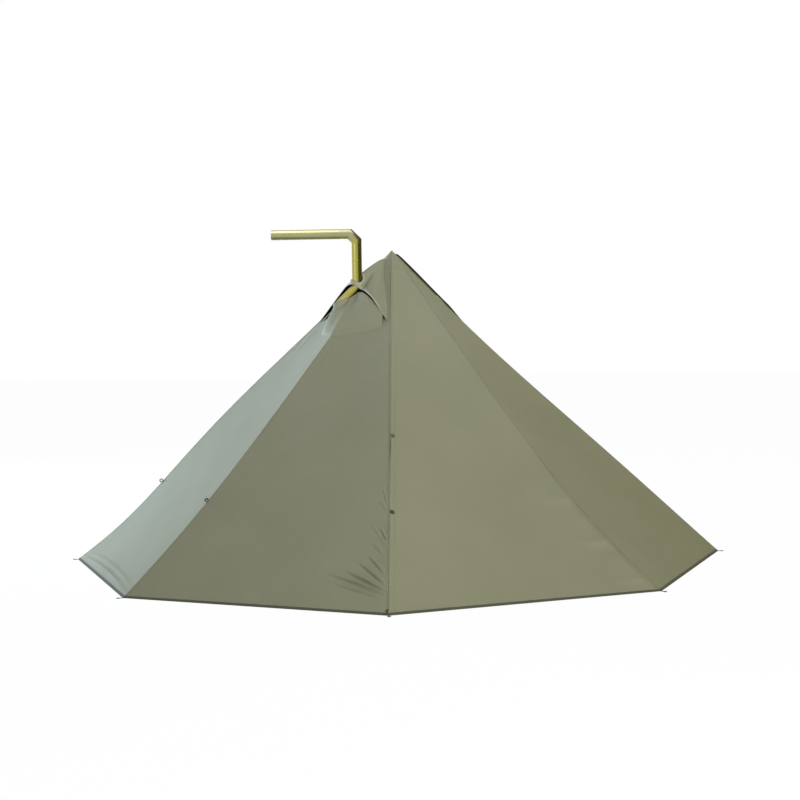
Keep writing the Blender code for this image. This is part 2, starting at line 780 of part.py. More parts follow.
def build_canopy():
    plain = rows_between(panel_top, 1.0)
    rolled = rows_between(panel_top, 1.0, *hem_roll_rows)
    front_left_fixed()
    left_front = panel("left_front_panel", 1, 8, rolled, hem_roll)
    panel("left_back_panel", 2, 2, plain)
    panel("back_left_panel", 3, 2, plain)
    back_right = panel("back_right_panel", 4, 4, plain)
    right_back = panel("right_back_panel", 5, 4, plain)
    panel("right_front_panel", 6, 2, plain)
    panel("front_right_panel", 7, 2, plain)
    crown()
    for index in range(side_count):
        ridge_tape(index)
        peg_loop(index)

    jack_hood = hood("jack_hood", 0, hood_lip_rise, patch_cloth, hood_olive)
    jack_patch = patch("jack_patch", 0, black, patch_cloth)
    jack_pocket()
    hood("vent_hood", 4, vent_lip_rise, cloth, hood_olive)
    patch("vent_net", 4, netting, cloth)
    vent_prop()

    # The pipe passes through the left front panel and the patch low down, and through the hood above.
    low = (*lower_pipe, offset_bottom - panel_cut_depth)
    wide = cylinder(
        "panel_hole", pipe_radius + panel_hole_margin, low, (*lower_pipe, offset_bottom), None, as_cutter=True
    )
    snug = cylinder(
        "patch_hole", pipe_radius + jack_clearance, low, (*lower_pipe, offset_bottom), None, as_cutter=True
    )
    above = cylinder(
        "hood_hole",
        pipe_radius + hood_hole_margin,
        (*upper_pipe, offset_top - hood_cut_depth),
        (*upper_pipe, arm_height),
        None,
        as_cutter=True,
    )
    cut(left_front, wide)
    cut(jack_patch, snug)
    cut(jack_hood, above)

    # Two window cuts under the netting.
    for piece, w in zip((back_right, right_back), vent_window_ws):
        middle = Vector(canopy_point(w, vent_window_t))
        reach = Vector(panel_normal(math.floor(w), vent_window_t)) * vent_window_depth
        name = piece.name + "_window"
        low, high = middle - reach, middle + reach
        cut(piece, cylinder(name, vent_window_radius, low, high, None, 16, as_cutter=True))


def flap_lift(t):
    """Height of the storm flap's free edge above the panel."""
    return flap_rise + flap_billow * math.exp(-(((t - flap_billow_t) / billow_span_t) ** 2))


def flap_place(share, t):
    """The w of a point on the flap, from its seam (share 0) to its free edge (share 1)."""
    width = np.linalg.norm(ridge_point(0, t) - ridge_point(7, t))
    return 8 - (seam_standoff + touch + flap_width * (1 - share)) / width


def build_door():
    leaf = door_leaf()

    coil_middle = zip_tape_width / 2 + seam_standoff
    low, high = seam_standoff, seam_standoff + zip_tape_width
    top = touch + zip_tape_thickness
    chain_outline = [
        (low, touch),
        (high, touch),
        (high, top),
        (coil_middle + coil_width / 2, top),
        (coil_middle + coil_width / 3, top + coil_height),
        (coil_middle - coil_width / 3, top + coil_height),
        (coil_middle - coil_width / 2, top),
        (low, top),
    ]
    chain_length = zip_length - zip_bottom_gap - zip_top_gap
    # Sections are drawn across the leaf and out of its cloth, with their length up the zip.
    section = placement(across_leaf, leaf_normal, along_zip, zip_foot)
    chain_middle = Matrix.Translation((0, 0, zip_bottom_gap + chain_length / 2))
    chain = prism("door_zip_chain", chain_outline, chain_length, section @ chain_middle, nylon)

    inner = coil_width / 2 + touch
    roof = top + coil_height + touch
    foot = top + touch
    crest = foot + slider_height
    left, right = coil_middle - slider_width / 2, coil_middle + slider_width / 2
    saddle_outline = [
        (left, foot),
        (coil_middle - inner, foot),
        (coil_middle - inner, roof),
        (coil_middle + inner, roof),
        (coil_middle + inner, foot),
        (right, foot),
        (right, crest - slider_round / 2),
        (right - slider_round, crest),
        (left + slider_round, crest),
        (left, crest - slider_round / 2),
    ]
    at_rest = Matrix.Translation((0, 0, slider_rest))
    slider = prism("zip_slider", saddle_outline, slider_length, section @ at_rest, nylon)
    pull_axis_height = crest + pull_barrel_radius + touch
    ear_offset = pull_barrel_length / 2 + touch + ear_thickness / 2
    for side in (-1, 1):
        across = coil_middle + side * ear_offset
        ear = box(
            f"slider_ear_{side}",
            (across - ear_thickness / 2, crest - 0.001, slider_rest + ear_span[0]),
            (across + ear_thickness / 2, crest + ear_height, slider_rest + ear_span[1]),
            None,
            as_cutter=True,
        )
        ear.matrix_world = section @ Matrix.Translation(ear.location)
        join(slider, ear)

    # The pull hangs down the zip from its barrel.
    pull_pivot = on_leaf(coil_middle, slider_rest, pull_axis_height)
    pull_place = placement(along_zip, across_leaf, leaf_normal, pull_pivot)
    half = pull_width / 2
    neck = pull_barrel_radius * 0.8
    end = pull_length - half
    tongue = [(0.0, -neck), (0.0, neck), (-pull_neck_length, neck), (-pull_shoulder, half), (-end, half)]
    tongue += [(-end - half * math.sin(a), half * math.cos(a)) for a in np.linspace(0, math.pi, 7)[1:-1]]
    tongue += [(-end, -half), (-pull_shoulder, -half), (-pull_neck_length, -neck)]
    pull = prism("zip_pull", tongue, pull_thickness, pull_place, nylon)
    barrel = cylinder(
        "pull_barrel",
        pull_barrel_radius,
        (0, -pull_barrel_length / 2, 0),
        (0, pull_barrel_length / 2, 0),
        None,
        12,
        as_cutter=True,
    )
    barrel.matrix_world = pull_place @ barrel.matrix_world
    join(pull, barrel)

    hinge = pivot("door_fold_line", fold_foot)
    ride_on(hinge, leaf, chain)
    track = pivot("zip_line", on_leaf(coil_middle, slider_rest, 0))
    ride_on(hinge, track)
    ride_on(track, slider)
    knuckle = pivot("pull_axis", pull_place.translation)
    ride_on(track, knuckle)
    ride_on(knuckle, pull)

    # The storm flap lies on the fixed panel beside the zip, its free edge along the ridge.
    rows = rows_between(door_top_t + tape_end_gap, 1.0 - 2 * tape_end_gap)
    grid = [
        [lifted(flap_place(s, t), t, lap_gap + flap_lift(t) * s**flap_curl) for s in flap_stations]
        for t in rows
    ]
    sheet("door_storm_flap", grid, flap_cloth, olive, grow=1.0)

    for which, t in flap_tab_ts.items():
        under = lap_gap + flap_lift(t) * tab_share**flap_curl + flap_cloth
        middle = lifted(flap_place(tab_share, t), t, under + 3 * touch + tab_thickness / 2)
        normal = panel_normal(7, t, 0.99)
        tilt = math.atan2(flap_lift(t) * flap_curl * tab_share ** (flap_curl - 1), flap_width)
        level = np.cross(along_zip, normal)
        normal = normal * math.cos(tilt) + level * math.sin(tilt)
        place = placement(np.cross(along_zip, normal), along_zip, normal, middle)
        half = tab_size / 2
        disc = [(half * math.cos(a), half * math.sin(a)) for a in np.linspace(0, 2 * math.pi, 17)[:-1]]
        prism(f"flap_tab_{which}", disc, tab_thickness, place, webbing)


def pole_levels():
    """Heights where the pole's sections meet, from the foot's floor to the tip's skirt."""
    steepest = max(ridge_sag.values()) * math.pi * sag_waist / math.hypot(corner_radius, peak_height)
    half_angle = math.atan2(corner_radius * math.cos(math.pi / side_count), peak_height) - math.atan(steepest)
    dome_centre = peak_height - (pole_radius + touch) / math.sin(half_angle)
    return dome_centre, np.linspace(foot_floor + touch, dome_centre - tip_skirt, pole_sections + 1)


def build_pole():
    dome_centre, levels = pole_levels()
    grip = pole_radius + touch
    foot_profile = [
        (0.0, foot_floor),
        (grip, foot_floor),
        (grip, foot_height),
        (grip + 0.004, foot_height),
        (foot_radius * 0.72, foot_floor),
        (foot_radius, 0.004),
        (foot_radius, 0.0),
        (0.0, 0.0),
    ]
    foot_mesh = turned("pole_foot", foot_profile, (0, 0, 0), rubber)
    foot_mesh.data.shade_smooth()

    plug = pole_radius - pole_wall - touch
    core = plug - pole_wall
    for number in range(pole_sections):
        low, high = levels[number], levels[number + 1] - touch
        bore = pole_radius - pole_wall
        last = number == pole_sections - 1
        profile = [(core, high + plug_length), (plug, high + plug_length), (plug, high), (pole_radius, high)]
        profile += [(pole_radius, low), (bore, low), (bore, high - 0.010), (core, high)]
        if last:
            profile = [(core, high + plug_length / 2), (plug, high + plug_length / 2), *profile[2:]]
        turned(f"pole_section_{number + 1}", profile, (0, 0, 0), alloy, closed=True)

    top = levels[-1]
    bore = plug + touch
    arc = [
        (pole_radius * math.sin(a), dome_centre + pole_radius * math.cos(a))
        for a in np.linspace(0, math.pi / 2, 7)
    ]
    tip_profile = arc + [(pole_radius, top), (bore, top), (bore, top + plug_length / 2 + touch)]
    tip_profile += [(0.0, top + plug_length / 2 + touch)]
    turned("pole_tip", tip_profile, (0, 0, 0), rubber)


def pipe_profile(low, high, crimped=True):
    """A pipe section: beaded near both ends, its lower end open and its top drawn in as a spigot."""
    outer, inner = pipe_radius, bore_radius
    spigot = bore_radius - pipe_fit
    bead = bead_width / 2
    rings = []
    for centre in (high - 2.5 * bead_width, low + 2.5 * bead_width + slip_depth):
        rings += [(outer, centre + bead), (outer + bead_height, centre + bead / 2)]
        rings += [(outer + bead_height, centre - bead / 2), (outer, centre - bead)]
    if not crimped:
        return [(inner, high), (outer, high), *rings, (outer, low), (inner, low)]
    profile = [(spigot - pipe_wall, high + slip_depth), (spigot, high + slip_depth), (spigot, high)]
    profile += [(outer, high), *rings, (outer, low), (inner, low), (inner, high - pipe_wall)]
    return profile + [(spigot - pipe_wall, high - pipe_wall)]


def bent_rod(name, route, radius, finish):
    """A round curve with filled caps along a route of points, made a mesh."""
    curve = bpy.data.curves.new(name, "CURVE")
    curve.dimensions = "3D"
    curve.bevel_depth = radius
    curve.bevel_resolution = 2
    curve.use_fill_caps = True
    spline = curve.splines.new("POLY")
    spline.points.add(len(route) - 1)
    for point, place in zip(spline.points, route):
        point.co = (*place, 1.0)
    return smooth(add_object(name, mesh_of_curve(curve, name), finish), 30.0)


def bent_pipe(name, route, finish):
    """A thin-walled pipe with mitred bends, along a route in a plane of constant y."""
    places = [np.array(place, float) for place in route]
    runs = [(b - a) / np.linalg.norm(b - a) for a, b in zip(places, places[1:])]
    level = np.array((0.0, 1.0, 0.0))
    working = bmesh.new()
    rings = []
    for k, place in enumerate(places):
        along = runs[max(k - 1, 0)]
        mitre = along + runs[min(k, len(runs) - 1)]
        ring = []
        for angle in np.linspace(0, 2 * math.pi, round_sides + 1)[:-1]:
            spoke = pipe_radius * (np.cross(level, along) * math.cos(angle) + level * math.sin(angle))
            ring.append(working.verts.new(place + spoke - along * (spoke @ mitre) / (along @ mitre)))
        rings.append(ring)
    for low, high in zip(rings, rings[1:]):
        for k in range(round_sides):
            j = (k + 1) % round_sides
            working.faces.new((low[k], low[j], high[j], high[k]))
    bmesh.ops.recalc_face_normals(working, faces=working.faces)
    working.faces.ensure_lookup_table()
    first = working.faces[0]
    if first.normal.dot(first.calc_center_median() - Vector(places[0])) < 0:
        bmesh.ops.reverse_faces(working, faces=working.faces)
    made = add_object(name, mesh_from(working, name), finish)
    shell = made.modifiers.new("wall", "SOLIDIFY")
    shell.thickness = pipe_wall
    shell.offset = -1.0
    shell.use_even_offset = True
    return smooth(made, 30.0)


def build_flue():
    x, y = lower_pipe
    stove_top = stove_floor + stove_height
    collar_top = stove_top + collar_height
    spigot = bore_radius - pipe_fit
    collar_profile = [(spigot - pipe_wall, collar_top + slip_depth), (spigot, collar_top + slip_depth)]
    collar_profile += [(spigot, collar_top), (pipe_radius, collar_top)]
    collar_profile += [(pipe_radius, stove_top + collar_flange_thickness + touch)]
    collar_profile += [(pipe_radius + collar_flange, stove_top + collar_flange_thickness + touch)]
    collar_profile += [(pipe_radius + collar_flange, stove_top + touch), (bore_radius, stove_top + touch)]
    collar_profile += [(bore_radius, collar_top - pipe_wall), (spigot - pipe_wall, collar_top - pipe_wall)]
    turned("flue_collar", collar_profile, (x, y, 0), steel, closed=True)

    join_height = (collar_top + offset_bottom) / 2
    first_low, first_high = collar_top + touch, join_height
    lower = turned("flue_section_lower", pipe_profile(first_low, first_high), (x, y, 0), gilt, closed=True)
    second_low = join_height + touch
    second_high = offset_bottom - offset_foot
    turned("flue_section_middle", pipe_profile(second_low, second_high), (x, y, 0), gilt, closed=True)

    # The damper turns on a spindle across the lower section.
    hole = spindle_radius + spindle_fit
    reach = pipe_radius + 0.010
    near, far = (x, y - reach, damper_height), (x, y + reach, damper_height)
    bearing = cylinder("damper_bearing", hole, near, far, None, 16, as_cutter=True)
    cut(lower, bearing)
    disc_radius = bore_radius - damper_clearance
    disc = cylinder(
        "damper_plate",
        disc_radius,
        (x - damper_thickness / 2, y, damper_height),
        (x + damper_thickness / 2, y, damper_height),
        steel,
        32,
    )
    shaft_end = y - pipe_radius - 0.018
    spindle = cylinder(
        "damper_spindle",
        spindle_radius,
        (x, shaft_end, damper_height),
        (x, y + pipe_radius + 0.004, damper_height),
        None,
        12,
        as_cutter=True,
    )
    join(disc, spindle)
    grip_profile = [(0.0, 0.0)]
    turns = 5
    for k in range(turns):
        low = damper_grip_length * k / turns
        high = damper_grip_length * (k + 1) / turns
        grip_profile += [(damper_grip_radius - 0.001, -low), (damper_grip_radius, -(low + high) / 2)]
    grip_profile += [(damper_grip_radius - 0.001, -damper_grip_length), (0.0, -damper_grip_length)]
    grip = turned("damper_grip", grip_profile, (0, 0, 0), wire, sides=20)
    grip.rotation_euler = (-math.pi / 2, 0, 0)
    grip.location = (x, shaft_end - touch, damper_height)
    ride_on(pivot("damper_axis", (x, y, damper_height)), disc, grip)

    # Offset: up, 45 degrees across under the hood, and up again, in one piece.
    upper_x, upper_y = upper_pipe
    offset_low = second_high + touch
    offset_high = offset_top + offset_neck
    route = [(x, y, offset_low), (x, y, offset_bottom)]
    route += [(upper_x, upper_y, offset_top), (upper_x, upper_y, offset_high)]
    bent_pipe("flue_offset", route, gilt)
    # The upper section sleeves over nothing: its foot is a spigot inside the offset.
    upper_low = offset_high + touch
    upper_high = upper_low + upper_section_length
    plug = bore_radius - pipe_fit
    outer = pipe_radius
    bead = bead_width / 2
    mid = (upper_low + upper_high) / 2
    profile = [(plug - pipe_wall, upper_high + slip_depth), (plug, upper_high + slip_depth)]
    profile += [(plug, upper_high), (outer, upper_high)]
    profile += [(outer, mid + bead), (outer + bead_height, mid + bead / 2)]
    profile += [(outer + bead_height, mid - bead / 2), (outer, mid - bead)]
    profile += [(outer, upper_low), (plug, upper_low)]
    profile += [(plug, upper_low - slip_depth), (plug - pipe_wall, upper_low - slip_depth)]
    turned("flue_section_upper", profile, (upper_x, upper_y, 0), gilt, closed=True)
    arm = bent_pipe(
        "flue_arm",
        [
            (upper_x, upper_y, arm_height - arm_socket),
            (upper_x, upper_y, arm_height),
            (upper_x - arm_length, upper_y, arm_height),
        ],
        gilt,
    )
    ride_on(pivot("arm_swivel", (upper_x, upper_y, arm_height)), arm)


def build_stove():
    x, y = lower_pipe
    rear = x + stove_rear
    front = rear - stove_length
    low, high = stove_floor, stove_floor + stove_height
    side = stove_width / 2
    body = box("stove_body", (front, y - side, low), (rear, y + side, high), steel, bevel=stove_round)
    cavity = box(
        "firebox",
        (front + stove_wall, y - side + stove_wall, low + stove_wall),
        (rear - stove_wall, y + side - stove_wall, high - stove_wall),
        None,
        bevel=stove_round - stove_wall,
        as_cutter=True,
    )
    sill = low + doorway_sill
    doorway = box(
        "doorway",
        (front - 0.02, y - doorway_width / 2, sill),
        (front + 0.02, y + doorway_width / 2, sill + doorway_height),
        None,
        as_cutter=True,
    )
    outlet = cylinder(
        "flue_outlet", bore_radius, (x, y, high - 0.02), (x, y, high + 0.02), None, 32, as_cutter=True
    )
    cut(body, cavity, doorway, outlet)
    air_level = low + air_sill
    for k in (-1, 0, 1):
        across = y + k * air_hole_spacing
        near, far = (front - 0.02, across, air_level), (front + 0.02, across, air_level)
        hole = cylinder(f"air_hole_{k}", air_hole_radius, near, far, None, 16, as_cutter=True)
        cut(body, hole)

    # Door plate, hung on the side away from the tent's wall.
    plate_back = front - touch
    plate_front = plate_back - plate_thickness
    left = y - doorway_width / 2 - plate_overlap
    right = y + doorway_width / 2 + plate_overlap
    bottom, top = sill - plate_overlap, sill + doorway_height + plate_overlap
    plate = box("stove_door", (plate_front, left, bottom), (plate_back, right, top), steel, bevel=0.0008)
    pin_x, pin_y = plate_front - knuckle_radius * 0.2, right + knuckle_radius + 0.001
    middle = (bottom + top) / 2
    half = door_knuckle_length / 2
    bore = hinge_pin_radius + hinge_fit
    near, far = (pin_x, pin_y, middle - half), (pin_x, pin_y, middle + half)
    door_knuckle = cylinder("door_knuckle", knuckle_radius, near, far, None, 20, as_cutter=True)
    leaf_strap = box(
        "door_strap",
        (plate_front, right - 0.010, middle - half),
        (plate_front + plate_thickness * 0.9, pin_y, middle + half),
        None,
        as_cutter=True,
    )
    near, far = (pin_x, pin_y, bottom - 0.02), (pin_x, pin_y, top + 0.02)
    pin_hole = cylinder("hinge_bore", bore, near, far, None, 16, as_cutter=True)
    join(plate, door_knuckle, leaf_strap)
    cut(plate, pin_hole)
    for word, sign in (("lower", -1), ("upper", 1)):
        near = middle + sign * (half + touch)
        far = near + sign * knuckle_length
        low_end, high_end = (pin_x, pin_y, min(near, far)), (pin_x, pin_y, max(near, far))
        bracket = cylinder(
            f"hinge_knuckle_{word}", knuckle_radius, low_end, high_end, None, 20, as_cutter=True
        )
        ear = box(
            f"hinge_ear_{word}",
            (pin_x, pin_y, min(near, far)),
            (front + stove_wall / 2, pin_y + knuckle_radius + 0.010, max(near, far)),
            None,
            as_cutter=True,
        )
        join(body, bracket, ear)
    cut(body, pin_hole)
    pin_low = middle - half - touch - knuckle_length
    pin_high = middle + half + touch + knuckle_length
    head = hinge_pin_radius + 0.0015
    pin_profile = [(0.0, pin_high + 0.002), (head, pin_high + 0.002), (head, pin_high + touch)]
    pin_profile += [(hinge_pin_radius, pin_high + touch), (hinge_pin_radius, pin_low), (0.0, pin_low)]
    turned("stove_hinge_pin", pin_profile, (pin_x, pin_y, 0), wire, sides=16)
    knob = cylinder(
        "door_knob_stem", knob_radius * 0.4, (plate_front - knob_length * 0.6, left + 0.020, middle),
        (plate_front + plate_thickness / 2, left + 0.020, middle), None, 16, as_cutter=True,
    )
    grip = cylinder(
        "door_knob", knob_radius, (plate_front - knob_length, left + 0.020, middle),
        (plate_front - knob_length * 0.5, left + 0.020, middle), None, 24, as_cutter=True,
    )
    join(plate, knob, grip)
    ride_on(pivot("stove_hinge", (pin_x, pin_y, middle)), plate)

    # Air slide between two rails under the door.
    slide_back = front - touch
    slide_front = slide_back - slide_thickness
    slide_low, slide_high = air_level - slide_width / 2, air_level + slide_width / 2
    slide = box(
        "air_slide",
        (slide_front, y - slide_length / 2, slide_low),
        (slide_back, y + slide_length / 2, slide_high),
        steel,
    )
    for k in (-1, 0, 1):
        across = y + k * air_hole_spacing
        near, far = (front - 0.02, across, air_level), (front + 0.02, across, air_level)
        cut(slide, cylinder(f"slide_hole_{k}", air_hole_radius, near, far, None, 16, as_cutter=True))
    tab = box(
        "slide_tab",
        (slide_front - 0.012, y - slide_length / 2, air_level - 0.006),
        (slide_back, y - slide_length / 2 + slide_thickness, air_level + 0.006),
        None,
        as_cutter=True,
    )
    join(slide, tab)
    reach = slide_length / 2 + 0.010
    for word, level, sign in (("lower", slide_low, -1), ("upper", slide_high, 1)):
        near = level + sign * touch
        far = near + sign * rail_width
        base_low, base_high = sorted((near, far))
        lap_low, lap_high = sorted((level - sign * 0.002, far))
        rail_front = slide_front - touch - 0.001
        rail_back = front + stove_wall / 2
        rail = box(
            f"air_rail_{word}", (rail_front, y - reach, base_low), (rail_back, y + reach, base_high),
            None, as_cutter=True,
        )
        lip = box(
            f"rail_lip_{word}", (rail_front, y - reach, lap_low), (rail_front + 0.001, y + reach, lap_high),
            None, as_cutter=True,
        )
        join(body, rail, lip)

    # Two legs bent from rod, each across the stove under its floor.
    for word, x_place in (("front", front + leg_inset), ("rear", rear - leg_inset)):
        crest = low - touch - leg_radius
        near, far = y - side + leg_inset, y + side - leg_inset
        bend = [leg_bend * (1 - math.cos(a)) for a in np.linspace(0, math.pi / 2, 6)]
        climb = [leg_bend * (1 - math.sin(a)) for a in np.linspace(0, math.pi / 2, 6)]
        route = [(x_place, near, 0.0)]
        route += [(x_place, near + b, crest - c) for b, c in zip(bend, climb)]
        route += [(x_place, far - b, crest - c) for b, c in zip(reversed(bend), reversed(climb))]
        route += [(x_place, far, 0.0)]
        bent_rod(f"stove_leg_{word}", route, leg_radius, wire)

    # Slotted grate on its two turned-down edges.
    inner_floor = low + stove_wall
    inset = stove_wall + grate_margin + stove_round
    grate_low, grate_high = inner_floor + touch, inner_floor + grate_height
    grate = box(
        "grate",
        (front + inset, y - side + inset, grate_low),
        (rear - inset, y + side - inset, grate_high),
        steel,
    )
    hollow = box(
        "grate_underside",
        (front + inset - 0.01, y - side + inset + grate_thickness, grate_low - 0.01),
        (rear - inset + 0.01, y + side - inset - grate_thickness, grate_high - grate_thickness),
        None,
        as_cutter=True,
    )
    cut(grate, hollow)
    pitch = (stove_length - 2 * inset) / grate_slots
    for k in range(grate_slots):
        centre = front + inset + pitch * (k + 0.5)
        slot = box(
            f"grate_slot_{k}",
            (centre - grate_slot_width / 2, y - side + inset + 0.020, grate_high - 0.01),
            (centre + grate_slot_width / 2, y + side - inset - 0.020, grate_high + 0.01),
            None,
            as_cutter=True,
        )
        cut(grate, slot)


build_canopy()
build_door()
build_pole()
build_flue()
build_stove()
bpy.context.view_layer.update()
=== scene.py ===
import math

import bmesh
import bpy
import numpy as np
from mathutils import Matrix, Vector


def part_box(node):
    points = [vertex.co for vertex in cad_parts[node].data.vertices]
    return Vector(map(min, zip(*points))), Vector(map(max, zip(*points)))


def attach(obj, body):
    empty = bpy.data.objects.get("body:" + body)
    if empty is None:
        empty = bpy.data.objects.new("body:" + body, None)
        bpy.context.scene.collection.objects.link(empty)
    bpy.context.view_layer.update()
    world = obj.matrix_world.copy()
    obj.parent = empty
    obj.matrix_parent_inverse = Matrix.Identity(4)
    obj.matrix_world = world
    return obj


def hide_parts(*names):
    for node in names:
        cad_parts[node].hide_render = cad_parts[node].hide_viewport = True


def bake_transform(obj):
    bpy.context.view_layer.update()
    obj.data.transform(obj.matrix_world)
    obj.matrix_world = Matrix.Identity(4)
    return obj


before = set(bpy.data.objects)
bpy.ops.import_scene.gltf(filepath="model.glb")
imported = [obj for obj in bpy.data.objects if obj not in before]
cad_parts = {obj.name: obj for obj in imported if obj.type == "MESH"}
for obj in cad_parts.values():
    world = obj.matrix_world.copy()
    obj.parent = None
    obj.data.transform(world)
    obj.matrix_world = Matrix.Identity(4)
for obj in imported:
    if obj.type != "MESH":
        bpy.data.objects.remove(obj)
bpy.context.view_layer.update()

# The tent's shape. Ridges count clockwise from the front one, seen from below; gore g lies
# between ridges g and g + 1. t runs down the slope, 0 at the peak and 1 at the hem, and w runs
# round the tent, a whole number on each ridge.
tent = dict(
    cornerRadius=2.15,
    peakHeight=2.04,
    hemHeight=0.001,
    gores=8,
    drawnIn=(0.0, 0.062, 0.018, 0.060, 0.050, 0.060, 0.030, 0.100),  # sag of each ridge
    waist=0.55,  # share of the sag that sits half way down
    skew=2.2,
    waves=(0.0, 0.0, -0.024, 0.0, 0.0, 0.0, 0.016, 0.0),  # a whole wave on top of the sag
    wavePowers=(1.0, 1.0, 1.9, 1.0, 1.0, 1.0, 1.0, 1.0),
    hollow=0.012,  # each gore is hollow between its ridges
    doorTop=0.28,
    normalStep=0.004,  # how far up and down the slope a normal looks
    sharp=14.0,
)
up = np.array((0.0, 0.0, 1.0))
insideTent, insideHood = (0, 0, 0.3), (0, 0, 1.2)  # faces point away from these places
tiny = 1e-6
sideLength = 2 * tent["cornerRadius"] * math.sin(math.pi / tent["gores"])
slantLength = math.hypot(tent["cornerRadius"] * math.cos(math.pi / tent["gores"]), tent["peakHeight"])


def lengths(vectors):
    return np.linalg.norm(vectors, axis=-1)


def unit(vectors):
    # each vector over its own length
    return vectors / lengths(vectors)[..., None]


def between(low, high, share):
    # low + (high - low) share
    return low + (high - low) * share


def arch(x, power=1.0):
    # sin(pi x)^power: 0 at both ends and 1 in the middle
    return np.sin(np.pi * np.clip(x, 0, 1)) ** power


def bell(x, place=0.0, width=1.0):
    # exp(-((x - place) / width)^2)
    return np.exp(-((x - place) / width) ** 2)


def humps(x, *sizes):
    # sum of bell curves, each of a height, a place and a width
    return sum(height * bell(x, place, width) for height, place, width in sizes)


def fullTurn(count):
    # even angles round a circle
    return np.linspace(0, 2 * np.pi, count, endpoint=False)


def smoothStep(x, height=1.0, start=0.0, span=1.0):
    # s^2 (3 - 2s) times a height, where s runs from 0 to 1 over a span
    s = np.clip((x - start) / span, 0, 1)
    return height * s * s * (3 - 2 * s)


def levelDirection(w):
    # (-sin a, -cos a, 0), where a is w eighths of a turn
    a = 2 * np.pi * np.asarray(w, float) / tent["gores"]
    return np.stack((-np.sin(a), -np.cos(a), 0 * a), -1)


def slopeNormal(w):
    # the slope's normal in the upright plane of w: level direction by height plus up by radius
    return unit(levelDirection(w) * tent["peakHeight"] + up * tent["cornerRadius"])


def ridgeLine(index, t):
    # a straight line from peak to corner, drawn in by sag (waist sin pi t + rest sin pi t^skew)
    # and wave sin(2 pi t^power)
    t = np.asarray(t, float)
    sag, wave, power = (
        np.take(tent[key], np.mod(index, tent["gores"])) for key in ("drawnIn", "waves", "wavePowers")
    )
    drawn = sag * (tent["waist"] * arch(t) + (1 - tent["waist"]) * arch(t ** tent["skew"]))
    drawn = drawn + wave * np.sin(2 * np.pi * t ** power)
    height = between(tent["peakHeight"], tent["hemHeight"], t)
    line = levelDirection(index) * (tent["cornerRadius"] * t)[..., None] + up * height[..., None]
    return line - slopeNormal(index) * drawn[..., None]


def laidFlat(share, t):
    # metres across and down a gore that is laid flat, from its middle line and the peak
    return np.stack(((share - 0.5) * sideLength * t, t * slantLength), -1)


# Creases that the photograph shows: gore, share and t at the start and at the end in thousandths,
# height and half width in millimetres
creases = (
    (0, 245, 911, 10, 952, 12.5, 7.8),
    (0, 176, 903, 6, 946, 13.5, 7.5),
    (0, 122, 884, 12, 930, 13, 7.5),
    (0, 85, 868, 16, 906, 10.5, 7),
    (0, 215, 935, 20, 962, 8, 7.5),
    (0, 75, 835, 14, 868, 5, 8),
    (0, 85, 790, 12, 845, 6, 7),
    (0, 40, 800, 8, 832, 7, 6),
    (0, 50, 735, 8, 760, 6, 7),
    (0, 34, 705, 10, 742, 6.5, 6),
    (0, 220, 225, 170, 360, 2.2, 12),
    (0, 380, 235, 330, 390, 2, 14),
    (0, 120, 240, 70, 400, 2, 11),
    (0, 800, 250, 860, 420, 2.5, 16),
    (0, 985, 735, 930, 762, 4, 10),
    (0, 985, 722, 945, 712, 3, 9),
    (1, 930, 220, 750, 360, 3, 16),
    (1, 100, 260, 200, 420, 2.5, 16),
    (6, 460, 590, 120, 655, 6, 20),
    (6, 620, 640, 400, 690, 2, 18),
    (7, 4, 872, 60, 846, 6, 16),
    (7, 4, 822, 45, 800, 4.5, 15),
    (7, 4, 742, 70, 725, 5, 18),
    (6, 996, 905, 930, 885, 5, 16),
    (6, 996, 790, 950, 770, 5, 16),
    (3, 200, 900, 20, 960, 4.5, 13),
    (4, 800, 900, 980, 950, 4.5, 13),
    (5, 150, 910, 20, 950, 4, 12),
    (2, 850, 890, 980, 950, 4.5, 13),
)
# Rolls of slack cloth along a hem: gore, t at the seams and in the middle in thousandths, height
# in millimetres, half width in thousandths of t
hemRolls = (
    (1, 990, 979, 18, 5.5),
    (1, 976, 962, 11, 5.5),
    (3, 985, 970, 6, 7),
    (5, 985, 972, 5, 7),
)
creaseForm = dict(power=0.7, trough=0.5, troughPlace=1.7, seamFade=0.014, hemFade=0.004)
# The soft unevenness of pitched cloth: lengths of its three waves, and how they shift by gore
soft = dict(pitch=(0.47, 0.31, 0.83), height=0.0012, shift=(1.3, 2.1), third=0.8, slant=0.6, hemFade=0.06)
# Where the front right ridge wavers: t, and how far its crest has moved over the front right gore
waver = dict(
    gore=7, slope=0.30, decay=0.10, least=0.004,
    t=(0.60, 0.66, 0.70, 0.738, 0.755, 0.794, 0.823, 0.859, 0.879, 0.902, 0.935, 0.966, 0.99),
    reach=(0.0, 0.012, 0.030, 0.056, 0.021, 0.028, 0.023, 0.052, 0.006, 0.031, 0.048, 0.059, 0.0),
)


def waverHeight(gore, share, t):
    # rises in a straight slope from the ridge to its moved crest, then dies away as a bell curve
    crest = np.interp(t, waver["t"], waver["reach"])
    reach = np.maximum(crest, waver["least"])
    x = share * sideLength * t
    rise = np.where(x < reach, x / reach, bell(x, reach, waver["decay"]))
    return (gore == waver["gore"]) * waver["slope"] * crest * rise


